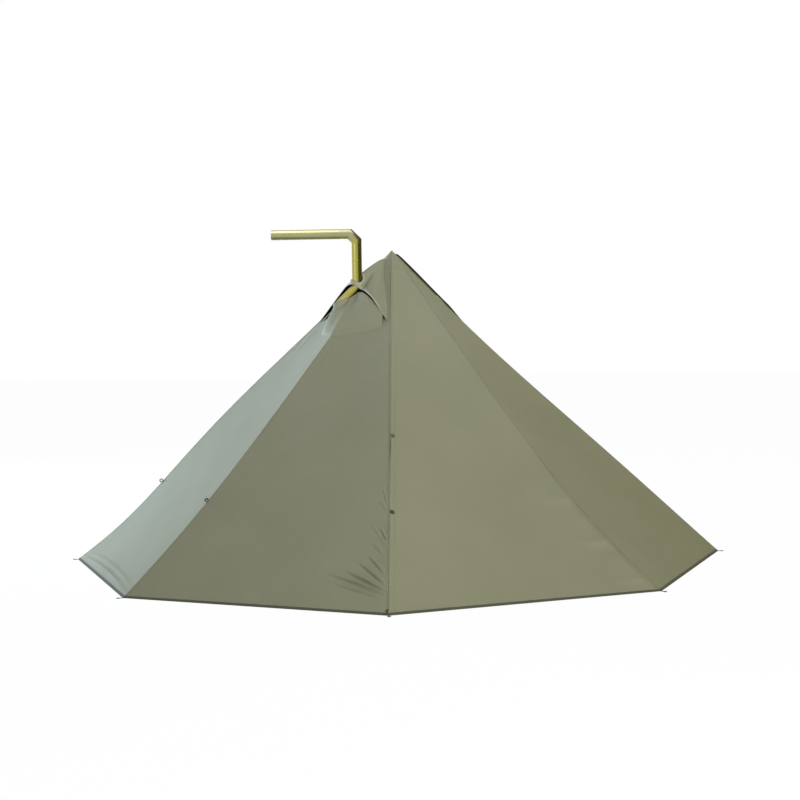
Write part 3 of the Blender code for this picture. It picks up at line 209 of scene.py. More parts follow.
def creaseHeight(gore, share, t):
    # sum over the creases of height sin(pi along)^0.7 (ridge minus half a trough beside it), as
    # bell curves of the distance from the crease's line, faded out at seams and hem
    form = creaseForm
    flat = laidFlat(share, t)
    total = np.zeros(flat.shape[:-1])
    for onGore, *sizes in creases:
        startShare, startT, endShare, endT, height, width = np.divide(sizes, 1000)
        start = laidFlat(startShare, startT)
        run = laidFlat(endShare, endT) - start
        length = np.linalg.norm(run)
        x, y = np.moveaxis(flat - start, -1, 0) / length
        along = x * run[0] + y * run[1]
        off = (x * run[1] - y * run[0]) / width
        ridge = bell(off) - form["trough"] * bell(off, form["troughPlace"])
        total += (gore == onGore) * height * arch(along / length, form["power"]) * ridge
    for onGore, *sizes in hemRolls:
        edge, middle, height, width = np.divide(sizes, 1000)
        curve = arch(share, form["power"])
        total += (gore == onGore) * height * curve * bell(t, between(edge, middle, curve), width)
    seam = np.minimum(share, 1 - share) * sideLength * t
    return total * smoothStep(seam / form["seamFade"]) * smoothStep((1 - t) / form["hemFade"])


def softHeight(gore, share, t):
    # three crossing sines of small height, less a hollow sin(pi share) sin(pi t)
    x, y = np.moveaxis(laidFlat(share, t), -1, 0)
    a, b, c = (2 * np.pi / pitch for pitch in soft["pitch"])
    waves = np.sin(a * x + soft["shift"][0] * gore) * np.sin(b * y + soft["shift"][1] * gore)
    waves = waves + soft["third"] * np.sin(c * (x + soft["slant"] * y) + gore)
    waves = waves * arch(share) * smoothStep((1 - t) / soft["hemFade"])
    return waves * soft["height"] - tent["hollow"] * arch(share) * arch(t)


def ruled(gore, share, t):
    # a straight line across from one ridge to the next
    share = np.asarray(share, float)[..., None]
    return between(ridgeLine(gore, t), ridgeLine(gore + 1, t), share)


def goreNormal(gore, share, t):
    # the step down the slope crossed with the step across it
    step = tent["normalStep"]
    t = np.clip(t, step, 1 - step)
    down = ruled(gore, share, t + step) - ruled(gore, share, t - step)
    normal = unit(np.cross(down, ridgeLine(gore + 1, t) - ridgeLine(gore, t)))
    return normal * np.sign((normal * slopeNormal(gore + 0.5)).sum(-1, keepdims=True))


def canopyAt(gore, share, t):
    # the ruled surface, raised along its normal by the soft unevenness and the creases
    gore, share, t = np.broadcast_arrays(gore, np.asarray(share, float), np.asarray(t, float))
    raised = softHeight(gore, share, t) + creaseHeight(gore, share, t) + waverHeight(gore, share, t)
    return ruled(gore, share, t) + goreNormal(gore, share, t) * raised[..., None]


def liftedAt(w, t, height):
    # a point a height above the canopy, mitred where w is on a ridge
    w, t, height = np.broadcast_arrays(np.asarray(w, float), t, height)
    nearest = np.round(w).astype(int)
    onRidge = np.abs(w - nearest) < tiny
    gore = np.floor(np.where(onRidge, nearest, w)).astype(int)
    before = goreNormal(nearest - 1, np.ones(w.shape), t)
    mean = unit(before + goreNormal(nearest, np.zeros(w.shape), t))
    mitred = mean / (mean * before).sum(-1, keepdims=True)
    normal = np.where(onRidge[..., None], mitred, goreNormal(gore, w - gore, t))
    return canopyAt(gore, w - gore, t) + normal * height[..., None]


def gridFaces(rows, columns, loop=False, tube=False):
    # the four corners of every cell; loop joins the last row to the first, tube the last column
    r = np.arange(rows if loop else rows - 1)
    c = np.arange(columns if tube else columns - 1)
    r, c = (a.ravel() for a in np.meshgrid(r, c, indexing="ij"))
    r1, c1 = (r + 1) % rows, (c + 1) % columns
    return np.stack((r * columns + c, r1 * columns + c, r1 * columns + c1, r * columns + c1), -1)


def addPiece(
    name, points, faces, finish, body="tent", cut=None, away=None, sharp=30.0, merge=2e-5, thickness=0.0
):
    # Puts arrays into a mesh. cut holds the cloth's own coordinates in metres, away is a place
    # that the faces point away from, and thickness grows the wall outwards.
    mesh = bpy.data.meshes.new(name)
    mesh.from_pydata(points.reshape(-1, 3).tolist(), [], faces.tolist())
    if cut is not None:
        layer = mesh.uv_layers.new(name="cut")
        layer.data.foreach_set("uv", cut.reshape(-1, 2)[faces.ravel()].ravel().astype(np.float32))
    working = bmesh.new()
    working.from_mesh(mesh)
    bmesh.ops.remove_doubles(working, verts=working.verts, dist=merge)
    bmesh.ops.recalc_face_normals(working, faces=working.faces)
    if away is not None:
        away = Vector(away)
        facing = sum(f.normal.dot(f.calc_center_median() - away) * f.calc_area() for f in working.faces)
        if facing < 0:
            bmesh.ops.reverse_faces(working, faces=working.faces)
    working.to_mesh(mesh)
    working.free()
    mesh.shade_smooth()
    if sharp:
        mesh.set_sharp_from_angle(angle=math.radians(sharp))
    mesh.materials.append(finish)
    made = bpy.data.objects.new(name, mesh)
    bpy.context.scene.collection.objects.link(made)
    if thickness:
        wall = made.modifiers.new("wall", "SOLIDIFY")
        wall.thickness = thickness
        wall.offset = 1.0
    if body:
        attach(made, body)
    return made


def addGrid(name, points, finish, loop=False, tube=False, **options):
    return addPiece(name, points, gridFaces(*points.shape[:2], loop, tube), finish, **options)


def addCloth(name, points, finish, cut=None, away=insideTent, sharp=None, **options):
    # a grid with the cloth's own coordinates: a ribbon's, unless others are given
    cut = ribbonCut(points) if cut is None else cut
    return addGrid(name, points, finish, cut=cut, away=away, sharp=sharp, **options)


def filed(piece, slotName, *nodes):
    # hides the CAD nodes that a piece stands in for and returns the piece; slotName is not used
    if nodes:
        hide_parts(*nodes)
    return piece


def carried(path, sides, outs, profile):
    # a profile of (side, out) distances carried along a path
    profile = np.asarray(profile, float)
    return path[:, None] + sides[..., None, :] * profile[:, :1] + outs[..., None, :] * profile[:, 1:]


def alongPath(path):
    # unit steps along a path, taken across both neighbours
    return unit(np.gradient(path, axis=0))


def ribbonCut(points):
    # distances across and along a ribbon, as its own coordinates
    across = np.pad(lengths(np.diff(points, axis=1)).cumsum(1), ((0, 0), (1, 0)))
    along = np.pad(lengths(np.diff(points.mean(1), axis=0)).cumsum(), (1, 0))[:, None]
    return np.stack(np.broadcast_arrays(across - across.mean(1, keepdims=True), along), -1)


def opened(points, faces, share, edgePlace):
    # takes out the cells with a corner inside a hole, where share is below 1, and moves the
    # corners that are left on its edge to their places there
    inside = (share.ravel()[faces] < 1).any(1)
    kept = faces[~inside]
    edge = np.intersect1d(faces[inside], kept)
    moved = points.reshape(-1, 3).copy()
    moved[edge] = edgePlace.reshape(-1, 3)[edge]
    return moved.reshape(points.shape), kept


def roundEdge(points, centre, radius):
    # level distance from an upright axis as a share of the radius, and the place on that circle
    away = points[..., :2] - centre
    place = np.concatenate((centre + unit(away) * radius, points[..., 2:]), -1)
    return lengths(away) / radius, place


def tubeAlong(path, radius, sides=10, flatten=1.0, normal=up):
    # circles about a path; flatten squeezes them along the second axis
    along = alongPath(path)
    first = unit(np.cross(along, normal))
    second = np.cross(first, along)
    a = fullTurn(sides)
    circle = np.stack((np.cos(a), np.sin(a) * flatten), -1)
    return carried(path, first * radius, second * radius, circle)


# Finishes
def newFinish(name, roughness, metallic=0.0, **sockets):
    made = bpy.data.materials.new(name)
    made.use_nodes = True
    shader = made.node_tree.nodes["Principled BSDF"]
    for socket, value in dict(Roughness=roughness, Metallic=metallic, **sockets).items():
        shader.inputs[socket.replace("_", " ")].default_value = value
    return made, made.node_tree, shader


def wired(tree, socket, value):
    # another node's output goes in as a link, anything else as a value
    if isinstance(value, bpy.types.NodeSocket):
        tree.links.new(value, socket)
    else:
        socket.default_value = value


def linked(tree, kind, values=(), **settings):
    # a node with its settings, and a value or an output for each socket
    node = tree.nodes.new(kind)
    for key, value in settings.items():
        setattr(node, key, value)
    for socket, value in dict(values).items():
        wired(tree, node.inputs[socket], value)
    return node


def maths(tree, operation, *values):
    return linked(tree, "ShaderNodeMath", enumerate(values), operation=operation).outputs[0]


def times(tree, *values):
    return maths(tree, "MULTIPLY", *values)


def noise(tree, vector, scale, detail=3.0, roughness=0.5):
    values = dict(Vector=vector, Scale=scale, Detail=detail, Roughness=roughness)
    return linked(tree, "ShaderNodeTexNoise", values).outputs["Fac"]


def objectPlace(tree):
    return linked(tree, "ShaderNodeTexCoord").outputs["Object"]


def split(tree, vector):
    return linked(tree, "ShaderNodeSeparateXYZ", dict(Vector=vector)).outputs


def onCut(tree):
    # distances across and along the cloth, from its own coordinates
    across, along, _ = split(tree, linked(tree, "ShaderNodeUVMap", uv_map="cut").outputs["UV"])
    return across, along


def combed(tree, way, pitch):
    # |cos|, which is 1 on lines a pitch apart
    return maths(tree, "ABSOLUTE", maths(tree, "COSINE", times(tree, way, math.pi / pitch)))


def colourRamp(tree, factor, stops):
    ramp = linked(tree, "ShaderNodeValToRGB", dict(Fac=factor))
    elements = ramp.color_ramp.elements
    while len(elements) < len(stops):
        elements.new(0.5)
    for element, (place, colour) in zip(elements, stops):
        element.position = place
        element.color = (*colour, 1.0)
    return ramp.outputs["Color"]


def blended(tree, factor, first, second, mode="MIX"):
    mix = linked(tree, "ShaderNodeMix", data_type="RGBA", blend_type=mode)
    for socket, value in zip((0, 6, 7), (factor, first, second)):
        wired(tree, mix.inputs[socket], (*value, 1.0) if isinstance(value, tuple) else value)
    return mix.outputs[2]


def bumped(tree, shader, colour, height, distance):
    # colour goes to the shader as it is, and height through a bump
    bump = linked(tree, "ShaderNodeBump", dict(Height=height, Distance=distance))
    tree.links.new(colour, shader.inputs["Base Color"])
    tree.links.new(bump.outputs["Normal"], shader.inputs["Normal"])


def shaded(colour, share):
    # one share for the whole colour, or one for each of red, green and blue
    return tuple(np.multiply(colour, share).tolist())


cloth = dict(
    weave=0.0007, threadHeight=0.25, lineSharpness=30.0, lineShare=0.10, lineLight=1.35, bump=0.00006,
    large=(2.3, 4.0, 0.55), fine=(38.0, 3.0, 0.6), largeShare=0.75,
    dye=((0.30, (0.93, 0.951, 0.93)), (0.70, (1.07, 1.056, 1.091))),
    stitchHalf=0.0005, stitchPitch=0.0045, stitchOn=0.7, stitchShare=0.7, stitchDark=0.45, stitchHeight=4.0,
    # painted light: the ramp below darkens the cloth near the hem and makes it paler and bluer towards the
    # peak
    fadeHeight=2.0,  # the cloth is paler towards the peak
    fade=(
        (0.0, (0.95, 0.95, 0.93)), (0.45, (1.03, 1.03, 1.05)),
        (0.85, (1.21, 1.22, 1.28)), (1.0, (1.24, 1.25, 1.31)),
    ),
)


def clothFinish(name, colour, roughness=0.62, sheen=0.04, gloss=0.25, ripstop=0.005, stitchAt=()):
    # proofed cloth: a fine plain weave with ripstop lines, soft unevenness of dye, painted light that is
    # darker near the hem and paler and bluer towards the peak, and any rows of stitches at distances across
    # the piece
    sockets = dict(Sheen_Weight=sheen, Sheen_Roughness=0.4, Specular_IOR_Level=gloss)
    made, tree, shader = newFinish(name, roughness, **sockets)
    across, along = onCut(tree)
    place = objectPlace(tree)
    turns = 2 * math.pi / cloth["weave"]
    threads = times(tree, *(maths(tree, "SINE", times(tree, way, turns)) for way in (across, along)))
    combs = (combed(tree, way, ripstop) for way in (across, along))
    lines = maths(tree, "MAXIMUM", *(maths(tree, "POWER", comb, cloth["lineSharpness"]) for comb in combs))
    large = times(tree, noise(tree, place, *cloth["large"]), cloth["largeShare"])
    fine = times(tree, noise(tree, place, *cloth["fine"]), 1 - cloth["largeShare"])
    stops = [(at, shaded(colour, share)) for at, share in cloth["dye"]]
    dyed = colourRamp(tree, maths(tree, "ADD", large, fine), stops)
    # painted light by height: paler and bluer towards the peak
    height = maths(tree, "DIVIDE", split(tree, place)["Z"], cloth["fadeHeight"])
    faded = colourRamp(tree, height, cloth["fade"])
    dyed = blended(tree, 1.0, dyed, faded, "MULTIPLY")
    woven = blended(tree, times(tree, lines, cloth["lineShare"]), dyed, shaded(colour, cloth["lineLight"]))
    height = maths(tree, "ADD", times(tree, threads, cloth["threadHeight"]), lines)
    for offset in stitchAt:
        away = maths(tree, "ABSOLUTE", maths(tree, "SUBTRACT", across, offset))
        step = maths(tree, "FRACT", maths(tree, "DIVIDE", along, cloth["stitchPitch"]))
        row = maths(tree, "LESS_THAN", away, cloth["stitchHalf"])
        stitch = times(tree, row, maths(tree, "LESS_THAN", step, cloth["stitchOn"]))
        dark = shaded(colour, cloth["stitchDark"])
        woven = blended(tree, times(tree, stitch, cloth["stitchShare"]), woven, dark)
        height = maths(tree, "ADD", height, times(tree, stitch, cloth["stitchHeight"]))
    bumped(tree, shader, woven, height, cloth["bump"])
    return made


def webbingFinish(name, colour, ribs=900.0, dustScale=120.0):
    # narrow woven tape: a herringbone of slanted ribs, with a little dust in its hollows
    made, tree, shader = newFinish(name, 0.85, Sheen_Weight=0.2)
    place = objectPlace(tree)
    x, y, z = split(tree, place)
    slanted = maths(tree, "ADD", times(tree, maths(tree, "ADD", x, y), ribs), z)
    stops = [(0.35, shaded(colour, 0.7)), (0.75, shaded(colour, 1.7))]
    worn = colourRamp(tree, noise(tree, place, dustScale), stops)
    bumped(tree, shader, worn, maths(tree, "PINGPONG", slanted, 1.0), 0.0003)
    return made


rolled = dict(
    scratches=(60.0, 5.0, 0.7), stains=(9.0, 4.0, 0.6), wobble=0.05, tintHeight=2.2, tintShare=0.75,
    scratchShare=0.22, scratchDark=0.45, smoother=0.08, rougher=0.12, bump=0.00008,
)


def brushedFinish(name, colour, roughness, stretch, heatTintAndReflection=None, dull=0.25, coat=0.0):
    # rolled sheet: fine scratches drawn out along the roll, soft stains, and colours by height: heat colours,
    # with a pale painted reflection at the top
    made, tree, shader = newFinish(name, roughness, 1.0, Coat_Weight=coat, Coat_Roughness=0.25)
    place = objectPlace(tree)
    drawn = linked(tree, "ShaderNodeMapping", dict(Vector=place, Scale=stretch)).outputs["Vector"]
    scratches = noise(tree, drawn, *rolled["scratches"])
    stains = noise(tree, place, *rolled["stains"])
    base = colourRamp(tree, stains, [(0.35, shaded(colour, 1 - dull)), (0.72, shaded(colour, 1.08))])
    if heatTintAndReflection:
        wobble = times(tree, maths(tree, "SUBTRACT", stains, 0.5), rolled["wobble"])
        height = maths(tree, "ADD", split(tree, place)["Z"], wobble)
        heatAndReflectionColour = colourRamp(tree, maths(tree, "DIVIDE", height, rolled["tintHeight"]), heatTintAndReflection)
        base = blended(tree, rolled["tintShare"], base, heatAndReflectionColour)
    dark = shaded(colour, rolled["scratchDark"])
    base = blended(tree, times(tree, scratches, rolled["scratchShare"]), base, dark)
    span = {"To Min": roughness - rolled["smoother"], "To Max": roughness + rolled["rougher"]}
    uneven = linked(tree, "ShaderNodeMapRange", {"Value": scratches, **span}).outputs["Result"]
    tree.links.new(uneven, shader.inputs["Roughness"])
    bumped(tree, shader, base, scratches, rolled["bump"])
    return made


def mouldedFinish(name, colour, roughness, grain=700.0, patches=45.0):
    # moulded plastic or rubber: a fine grain and worn, paler patches
    made, tree, shader = newFinish(name, roughness)
    place = objectPlace(tree)
    stops = [(0.4, shaded(colour, 0.8)), (0.8, shaded(colour, 1.8))]
    worn = colourRamp(tree, noise(tree, place, patches), stops)
    bumped(tree, shader, worn, noise(tree, place, grain, 2.0), 0.0001)
    return made


def nettingFinish(name, colour, pitch=0.0022, threadEdge=0.86, least=0.35):
    # a square net: threads are opaque, the gaps let light through
    made, tree, shader = newFinish(name, 0.9)
    threads = (maths(tree, "GREATER_THAN", combed(tree, way, pitch), threadEdge) for way in onCut(tree))
    threads = maths(tree, "MAXIMUM", *threads)
    solid = maths(tree, "MULTIPLY_ADD", threads, 1 - least, least)
    tree.links.new(solid, shader.inputs["Alpha"])
    tree.links.new(blended(tree, threads, shaded(colour, 0.7), colour), shader.inputs["Base Color"])
    return made


colours = dict(
    olive=(0.195, 0.196, 0.122),
    # the near-black olive is painted shade for the rear vent hood
    paintedShadeOlive=(0.028, 0.030, 0.016),
    # the hem binding's dark olive: partly its own colour, partly painted shade along the ground
    hem=(0.066, 0.068, 0.046),
    beige=(0.290, 0.275, 0.185),
    # black: the jack patch's own glass cloth, and painted shade where it lines the hoods
    blackClothAndPaintedShade=(0.012, 0.012, 0.009),
    webbing=(0.030, 0.030, 0.022),
    nylon=(0.018, 0.018, 0.018),
    alloy=(0.56, 0.56, 0.57),
    rubber=(0.025, 0.025, 0.025),
    gilt=(0.40, 0.37, 0.085),
    steel=(0.36, 0.35, 0.33),
    wire=(0.58, 0.58, 0.58),
)
# colours by height: heat colours from the stove up, and a last pale stop, above about 2.1 m, that is a
# painted reflection lightening the arm's upper half
heatTintAndArmReflection = (
    (0.16, (0.10, 0.10, 0.16)),
    (0.24, (0.16, 0.11, 0.18)),
    (0.33, (0.30, 0.18, 0.13)),
    (0.45, (0.40, 0.29, 0.11)),
    (0.62, (0.40, 0.365, 0.080)),
    (0.950, (0.40, 0.370, 0.085)),
    (0.966, (0.40, 0.400, 0.250)),
)
upright, level = (1.0, 1.0, 0.05), (0.05, 1.0, 1.0)  # which way scratches are drawn out
bindingCloth = dict(roughness=0.8, ripstop=0.0013)
olive = clothFinish("oliveCloth", colours["olive"])
oliveTape = clothFinish("oliveTape", shaded(colours["olive"], 0.97), stitchAt=(-0.0065, 0.0065))
# painted shade: a near-black, dull cloth for the rear vent hood, standing for the shade under its rim
paintedShadeOlive = clothFinish("paintedShadeHoodCloth", colours["paintedShadeOlive"], roughness=0.95, sheen=0.0, gloss=0.03)
oliveFlap = clothFinish("oliveFlap", colours["olive"], stitchAt=(-0.013, 0.0165))
# the hem binding is darker than the cloth, partly as painted shade where the hem meets the ground
hemTapeWithPaintedShade = clothFinish("hemTapeWithPaintedShade", colours["hem"], stitchAt=(0.002, 0.012), **bindingCloth)
beige = clothFinish("beigeBinding", colours["beige"], sheen=0.05, stitchAt=(0.0, 0.004), **bindingCloth)
# the jack patch's black cloth; as the hoods' linings it is painted shade
blackClothAndPaintedShade = clothFinish("blackGlassClothAndPaintedShade", colours["blackClothAndPaintedShade"], roughness=0.75, sheen=0.0, ripstop=0.0016)
netting = nettingFinish("netting", colours["nylon"])
webbing = webbingFinish("webbing", colours["webbing"])
webbingFaded = webbingFinish("fadedWebbing", colours["hem"])
nylon = mouldedFinish("blackNylon", colours["nylon"], 0.5)
coilNylon = mouldedFinish("oliveCoil", shaded(colours["olive"], 1.35), 0.7)
rubber = mouldedFinish("blackRubber", colours["rubber"], 0.85)
alloy = brushedFinish("anodisedAlloy", colours["alloy"], 0.35, (1.0, 1.0, 0.03), dull=0.1)
gilt = brushedFinish("heatTintedPipe", colours["gilt"], 0.30, upright, heatTintAndArmReflection, dull=0.15, coat=0.25)
giltLevel = brushedFinish("heatTintedArmWithPaintedReflection", colours["gilt"], 0.34, level, heatTintAndArmReflection, dull=0.15, coat=0.35)
steel = brushedFinish("stoveSteel", colours["steel"], 0.42, level, dull=0.3)
wire = brushedFinish("steelWire", colours["wire"], 0.35, (1.0, 1.0, 1.0), dull=0.15)
print("finishes made")

# The canopy: one continuous sheet of eight gores, open where the door leaf hangs
canopy = dict(
    columns=30, rows=130, hemRows=46, hemFrom=0.90, cutSpacing=2.0,
    jackHole=0.0545, jackPlace=(0.3, 0.19), windowRadius=0.075, windows=((4, 0.62, 0.155), (5, 0.38, 0.155)),
)


def axisOf(node):
    # where the axis of an upright CAD node stands on the ground
    return np.add(*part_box(node))[:2] / 2


lowerPipe, upperPipe = axisOf("flue_section_middle"), axisOf("flue_section_upper")


def doorShare(t):
    # how far across the front left gore the door's straight fold line runs, at each height
    t = np.maximum(t, tent["doorTop"])
    return (t - tent["doorTop"]) / ((1 - tent["doorTop"]) * t)


def canopyRows():
    upper = np.linspace(0, canopy["hemFrom"], canopy["rows"])
    lower = np.linspace(canopy["hemFrom"], 1, canopy["hemRows"])
    return np.unique(np.concatenate((upper, lower, (tent["doorTop"],))))


def jackEdge(points):
    # distance from the upright pipe as a share of the hole's radius, and the place on the hole's
    # edge, reached along the gore
    reach, _ = roundEdge(points, lowerPipe, canopy["jackHole"])
    outwards = unit((points - (*lowerPipe, 0)) * (1, 1, 0))
    normal = goreNormal(1, *map(np.array, canopy["jackPlace"]))
    outwards = outwards - up * ((outwards @ normal) / normal[2])[..., None]
    return reach, points + outwards * (canopy["jackHole"] * (1 - reach))[..., None]


def windowEdge(points, middle):
    # distance from the window's middle as a share of its radius, and the place on its edge
    away = points - middle
    radius = canopy["windowRadius"]
    return lengths(away) / radius, middle + unit(away) * radius


def makeCanopy():
    # every gore is canopyAt on a grid of share and t; beside the door, shares start at the fold line
    points, faces, cut, count = [], [], [], 0
    for gore in range(tent["gores"]):
        share, t = np.meshgrid(np.linspace(0, 1, canopy["columns"] + 1), canopyRows())
        if gore == 0:
            start = doorShare(t)
            share = between(start, 1, share)
        block, cells = canopyAt(gore, share, t), gridFaces(*share.shape)
        if gore == 1:
            block, cells = opened(block, cells, *jackEdge(block))
        for windowGore, windowShare, windowT in canopy["windows"]:
            if gore == windowGore:
                middle = canopyAt(gore, windowShare, windowT)
                block, cells = opened(block, cells, *windowEdge(block, middle))
        points.append(block.reshape(-1, 3))
        faces.append(cells + count)
        cut.append((laidFlat(share, t) + (canopy["cutSpacing"] * gore, 0)).reshape(-1, 2))
        count += share.size
    made = addPiece(
        "canopy", np.concatenate(points), np.concatenate(faces), olive,
        cut=np.concatenate(cut), away=insideTent, sharp=tent["sharp"],
    )
    return filed(
        made, "olive_cloth", "front_left_panel", "left_front_panel", "left_back_panel", "back_left_panel",
        "back_right_panel", "right_back_panel", "right_front_panel", "front_right_panel",
    )


canopySheet = makeCanopy()
print("canopy made", len(canopySheet.data.polygons))

# The door leaf: the rest of the front left gore, which folds back about a line
door = dict(columns=150, rows=60, lowRows=260, lowFrom=0.70, gather=1.7, foldWidth=0.045)
zipTop, zipFoot, foldFoot = ridgeLine(0, tent["doorTop"]), ridgeLine(0, 1.0), ridgeLine(1, 1.0)
zipLength = float(lengths(zipFoot - zipTop))
alongZip = (zipTop - zipFoot) / zipLength
leafNormal = unit(np.cross(foldFoot - zipFoot, alongZip))
leafNormal *= np.sign(leafNormal @ slopeNormal(0.5))
acrossLeaf = np.cross(leafNormal, alongZip)


def hangOnDoor(piece):
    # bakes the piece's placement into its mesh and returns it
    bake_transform(piece)
    return piece


def makeDoorLeaf():
    # canopyAt on the part of gore 0 between the front ridge and the fold line
    upper = np.linspace(tent["doorTop"], door["lowFrom"], door["rows"])
    lower = np.linspace(door["lowFrom"], 1, door["lowRows"])
    t = np.unique(np.concatenate((upper, lower, canopyRows())))
    t = t[t >= tent["doorTop"]]
    share, t = np.meshgrid(np.linspace(0, 1, door["columns"] + 1) ** door["gather"], t)
    share = share * doorShare(t)
    made = addCloth("doorLeaf", canopyAt(0, share, t), olive, laidFlat(share, t), body=None)
    return filed(hangOnDoor(made), "olive_cloth", "door_leaf")


doorSheet = makeDoorLeaf()

# Hem binding: a folded tape over the cut edge, dark partly as its own colour and partly as painted shade
# where the hem meets the ground
hem = dict(height=0.016, depth=0.0013, bottom=0.0005, steps=60, slopeT=0.99, fold=0.003, foldSteps=7)


def makeHem(name, gore, body):
    # the tape's section, down the outside, round the edge and up the inside, carried along the hem
    high, deep = hem["height"], hem["depth"]
    share = np.linspace(0, 1, hem["steps"] + 1)
    ones = np.ones(share.shape)
    path = ruled(gore, share, ones)
    slope = unit(ruled(gore, share, ones * hem["slopeT"]) - path)
    outs = goreNormal(gore, share, ones * hem["slopeT"])
    path = path + up * (deep + hem["bottom"] - tent["hemHeight"])
    section = [(high, deep), (0.6 * high, 1.5 * deep), (hem["fold"], 1.3 * deep)]
    for a in np.linspace(0, math.pi, hem["foldSteps"]):
        section.append((-deep * math.sin(a), deep * math.cos(a)))
    section.append((high, -0.7 * deep))
    points = carried(path, slope, outs, section)
    points[..., 2] = np.maximum(points[..., 2], hem["bottom"])
    return filed(addCloth(name, points, hemTapeWithPaintedShade, body=body), "webbing")


hemPieces = [makeHem(f"hemBinding{gore}", gore, "tent") for gore in range(1, tent["gores"])]
doorHem = hangOnDoor(makeHem("doorHemBinding", 0, None))

# Seam tapes, folded over the ridges, and the crown's cap
ridgeNames = ("front", "front_left", "left", "back_left", "back", "back_right", "right", "front_right")
crown = dict(
    hem=1 / 16, rows=24, columns=8, lift=0.0015, edgeLift=0.0002, turnDown=0.0006, merge=3e-5,
    stitch=0.012, cutWidth=0.08,
)
tape = dict(
    leg=0.009, height=0.0009, lift=0.0003, rows=110, under=0.004, bottom=0.995, doorGap=0.002,
    hooded=(1, 5), hoodedTop=0.276,  # these ridges start below the hoods
    offsets=(-1.0, -0.97, -0.5, 0.0, 0.5, 0.97, 1.0),
    heights=(0.0, 0.9, 1.0, 1.3, 1.0, 0.9, 0.0),
)


def makeRidgeTape(index):
    # seven stations across the ridge, raised in the middle, carried down the ridge
    top = tape["hoodedTop"] if index in tape["hooded"] else crown["hem"] + tape["under"]
    bottom = tape["bottom"] if index else tent["doorTop"] + tape["doorGap"]
    t = np.linspace(top, bottom, tape["rows"])[:, None]
    heights = tape["lift"] + tape["height"] * np.array((tape["heights"],))
    w = index + np.array((tape["offsets"],)) * tape["leg"] / (sideLength * t)
    name = f"{ridgeNames[index]}RidgeTape".replace("_", "")
    made = addCloth(name, liftedAt(w, t, heights), oliveTape)
    return filed(made, "olive_cloth", f"{ridgeNames[index]}_ridge_tape")


def makeCrown():
    # a cap over the peak: the canopy lifted, with its edge turned down
    t = np.append(np.linspace(0, crown["hem"], crown["rows"]), crown["hem"] + crown["turnDown"])[:, None]
    w = np.linspace(0, tent["gores"], tent["gores"] * crown["columns"] + 1)[None]
    heights = np.full(t.shape, crown["lift"])
    heights[-1] = crown["edgeLift"]
    points = liftedAt(w, t, heights)
    points[0] = points[0].mean(0)
    below = (t - crown["hem"]) * slantLength + crown["stitch"]
    cut = np.stack(np.broadcast_arrays(below, w * crown["cutWidth"]), -1)
    made = addCloth("crownCap", points, oliveTape, cut, sharp=tent["sharp"], merge=crown["merge"])
    return filed(made, "olive_cloth", "crown_cap")


tapePieces = [makeRidgeTape(index) for index in range(tent["gores"])]
crownPiece = makeCrown()

# Stove jack and rear vent
hood = dict(
    footW=0.07, footT=0.225, lipT=0.140, lipLap=0.012, lipPower=0.8, span=0.8, lap=0.0014,
    rows=37, columns=97, ends=0.004, cutSize=(0.62, 0.14), liningDrop=0.0022,
    lipSteps=121, lipSides=14, lipEnds=0.02, thinShare=0.75, thinSpan=0.15,
    pipeHole=0.0385, cuff=0.0075, cuffSides=10, cuffSteps=64, cuffSpread=2.5, cuffReach=6,
    cuffSet=0.4, cuffTall=1.6,
)
jack = dict(
    firstW=0, topT=0.028, seamPower=0.5, fullness=0.8, flank=0.3, lipRise=0.1075, swell=0.62, lining=0.0012,
    binding=0.0032, tall=2.6, thinFrom=0.52, dips=((0.34, 0.37, 0.07), (-0.45, 0.14, 0.08)),
)
vent = dict(
    firstW=4, topT=0.012, seamPower=0.10, fullness=0.58, flank=-0.26, lipRise=0.060, swell=0.35,
    lining=0.0006, binding=0.0030, tall=1.0, thinFrom=1.0, dips=((-0.26, 0.86, 0.12),),
)


def hoodPoints(kind, u, v, below=0.0):
    # rows from the sewn edge (u 0) to the lip (u 1); the rise is sin(pi v)^fullness u^swell of the
    # lip's, softer up the flanks, and less by bell curves where the cloth dips (share, place, width)
    w = hood["footW"] + (2 - 2 * hood["footW"]) * v
    top = between(hood["footT"], kind["topT"], arch(v, kind["seamPower"]))
    lip = between(hood["footT"] + hood["lipLap"], hood["lipT"], arch(v, hood["lipPower"]))
    t = between(top, lip, u)
    dip = humps(v, *kind["dips"])
    full = arch(v, kind["fullness"] + kind["flank"] * (1 - u))
    rise = kind["lipRise"] * (1 - dip * u) * full * u ** kind["swell"]
    outs = slopeNormal(kind["firstW"] + 1 + (w - 1) * hood["span"])
    return liftedAt(kind["firstW"] + w, t, kind["lining"] + hood["lap"]) + outs * (rise - below)[..., None]


def clothGrid(rows):
    # u down the rows from 0 to 1, and v across, stopped just short of the cloth's ends
    v = np.linspace(hood["ends"], 1 - hood["ends"], hood["columns"])
    return np.broadcast_arrays(np.linspace(0, 1, rows)[:, None], v)


def ringAlong(rim, centre, size):
    # a bead about a closed rim round an upright axis: (reach + size cos a, height + tall size sin a),
    # with the height smoothed by a bell curve over its neighbours
    ends, spread = hood["cuffReach"], hood["cuffSpread"] * math.sqrt(2)
    around = fullTurn(hood["cuffSteps"]) - np.pi
    angle = np.arctan2(rim[:, 1] - centre[1], rim[:, 0] - centre[0])
    height = np.interp(around, angle, rim[:, 2], period=2 * np.pi)
    weights = bell(np.arange(-ends, ends + 1), width=spread)
    height = np.convolve(np.pad(height, ends, "wrap"), weights / weights.sum(), "valid")
    path = up * height[:, None] + (*centre, 0)
    outs = np.stack((np.cos(around), np.sin(around), 0 * around), -1)
    a = fullTurn(hood["cuffSides"])
    across = hood["pipeHole"] + size * (hood["cuffSet"] + np.cos(a))
    section = np.stack((across, size * hood["cuffTall"] * np.sin(a)), -1)
    return carried(path, outs, up, section)


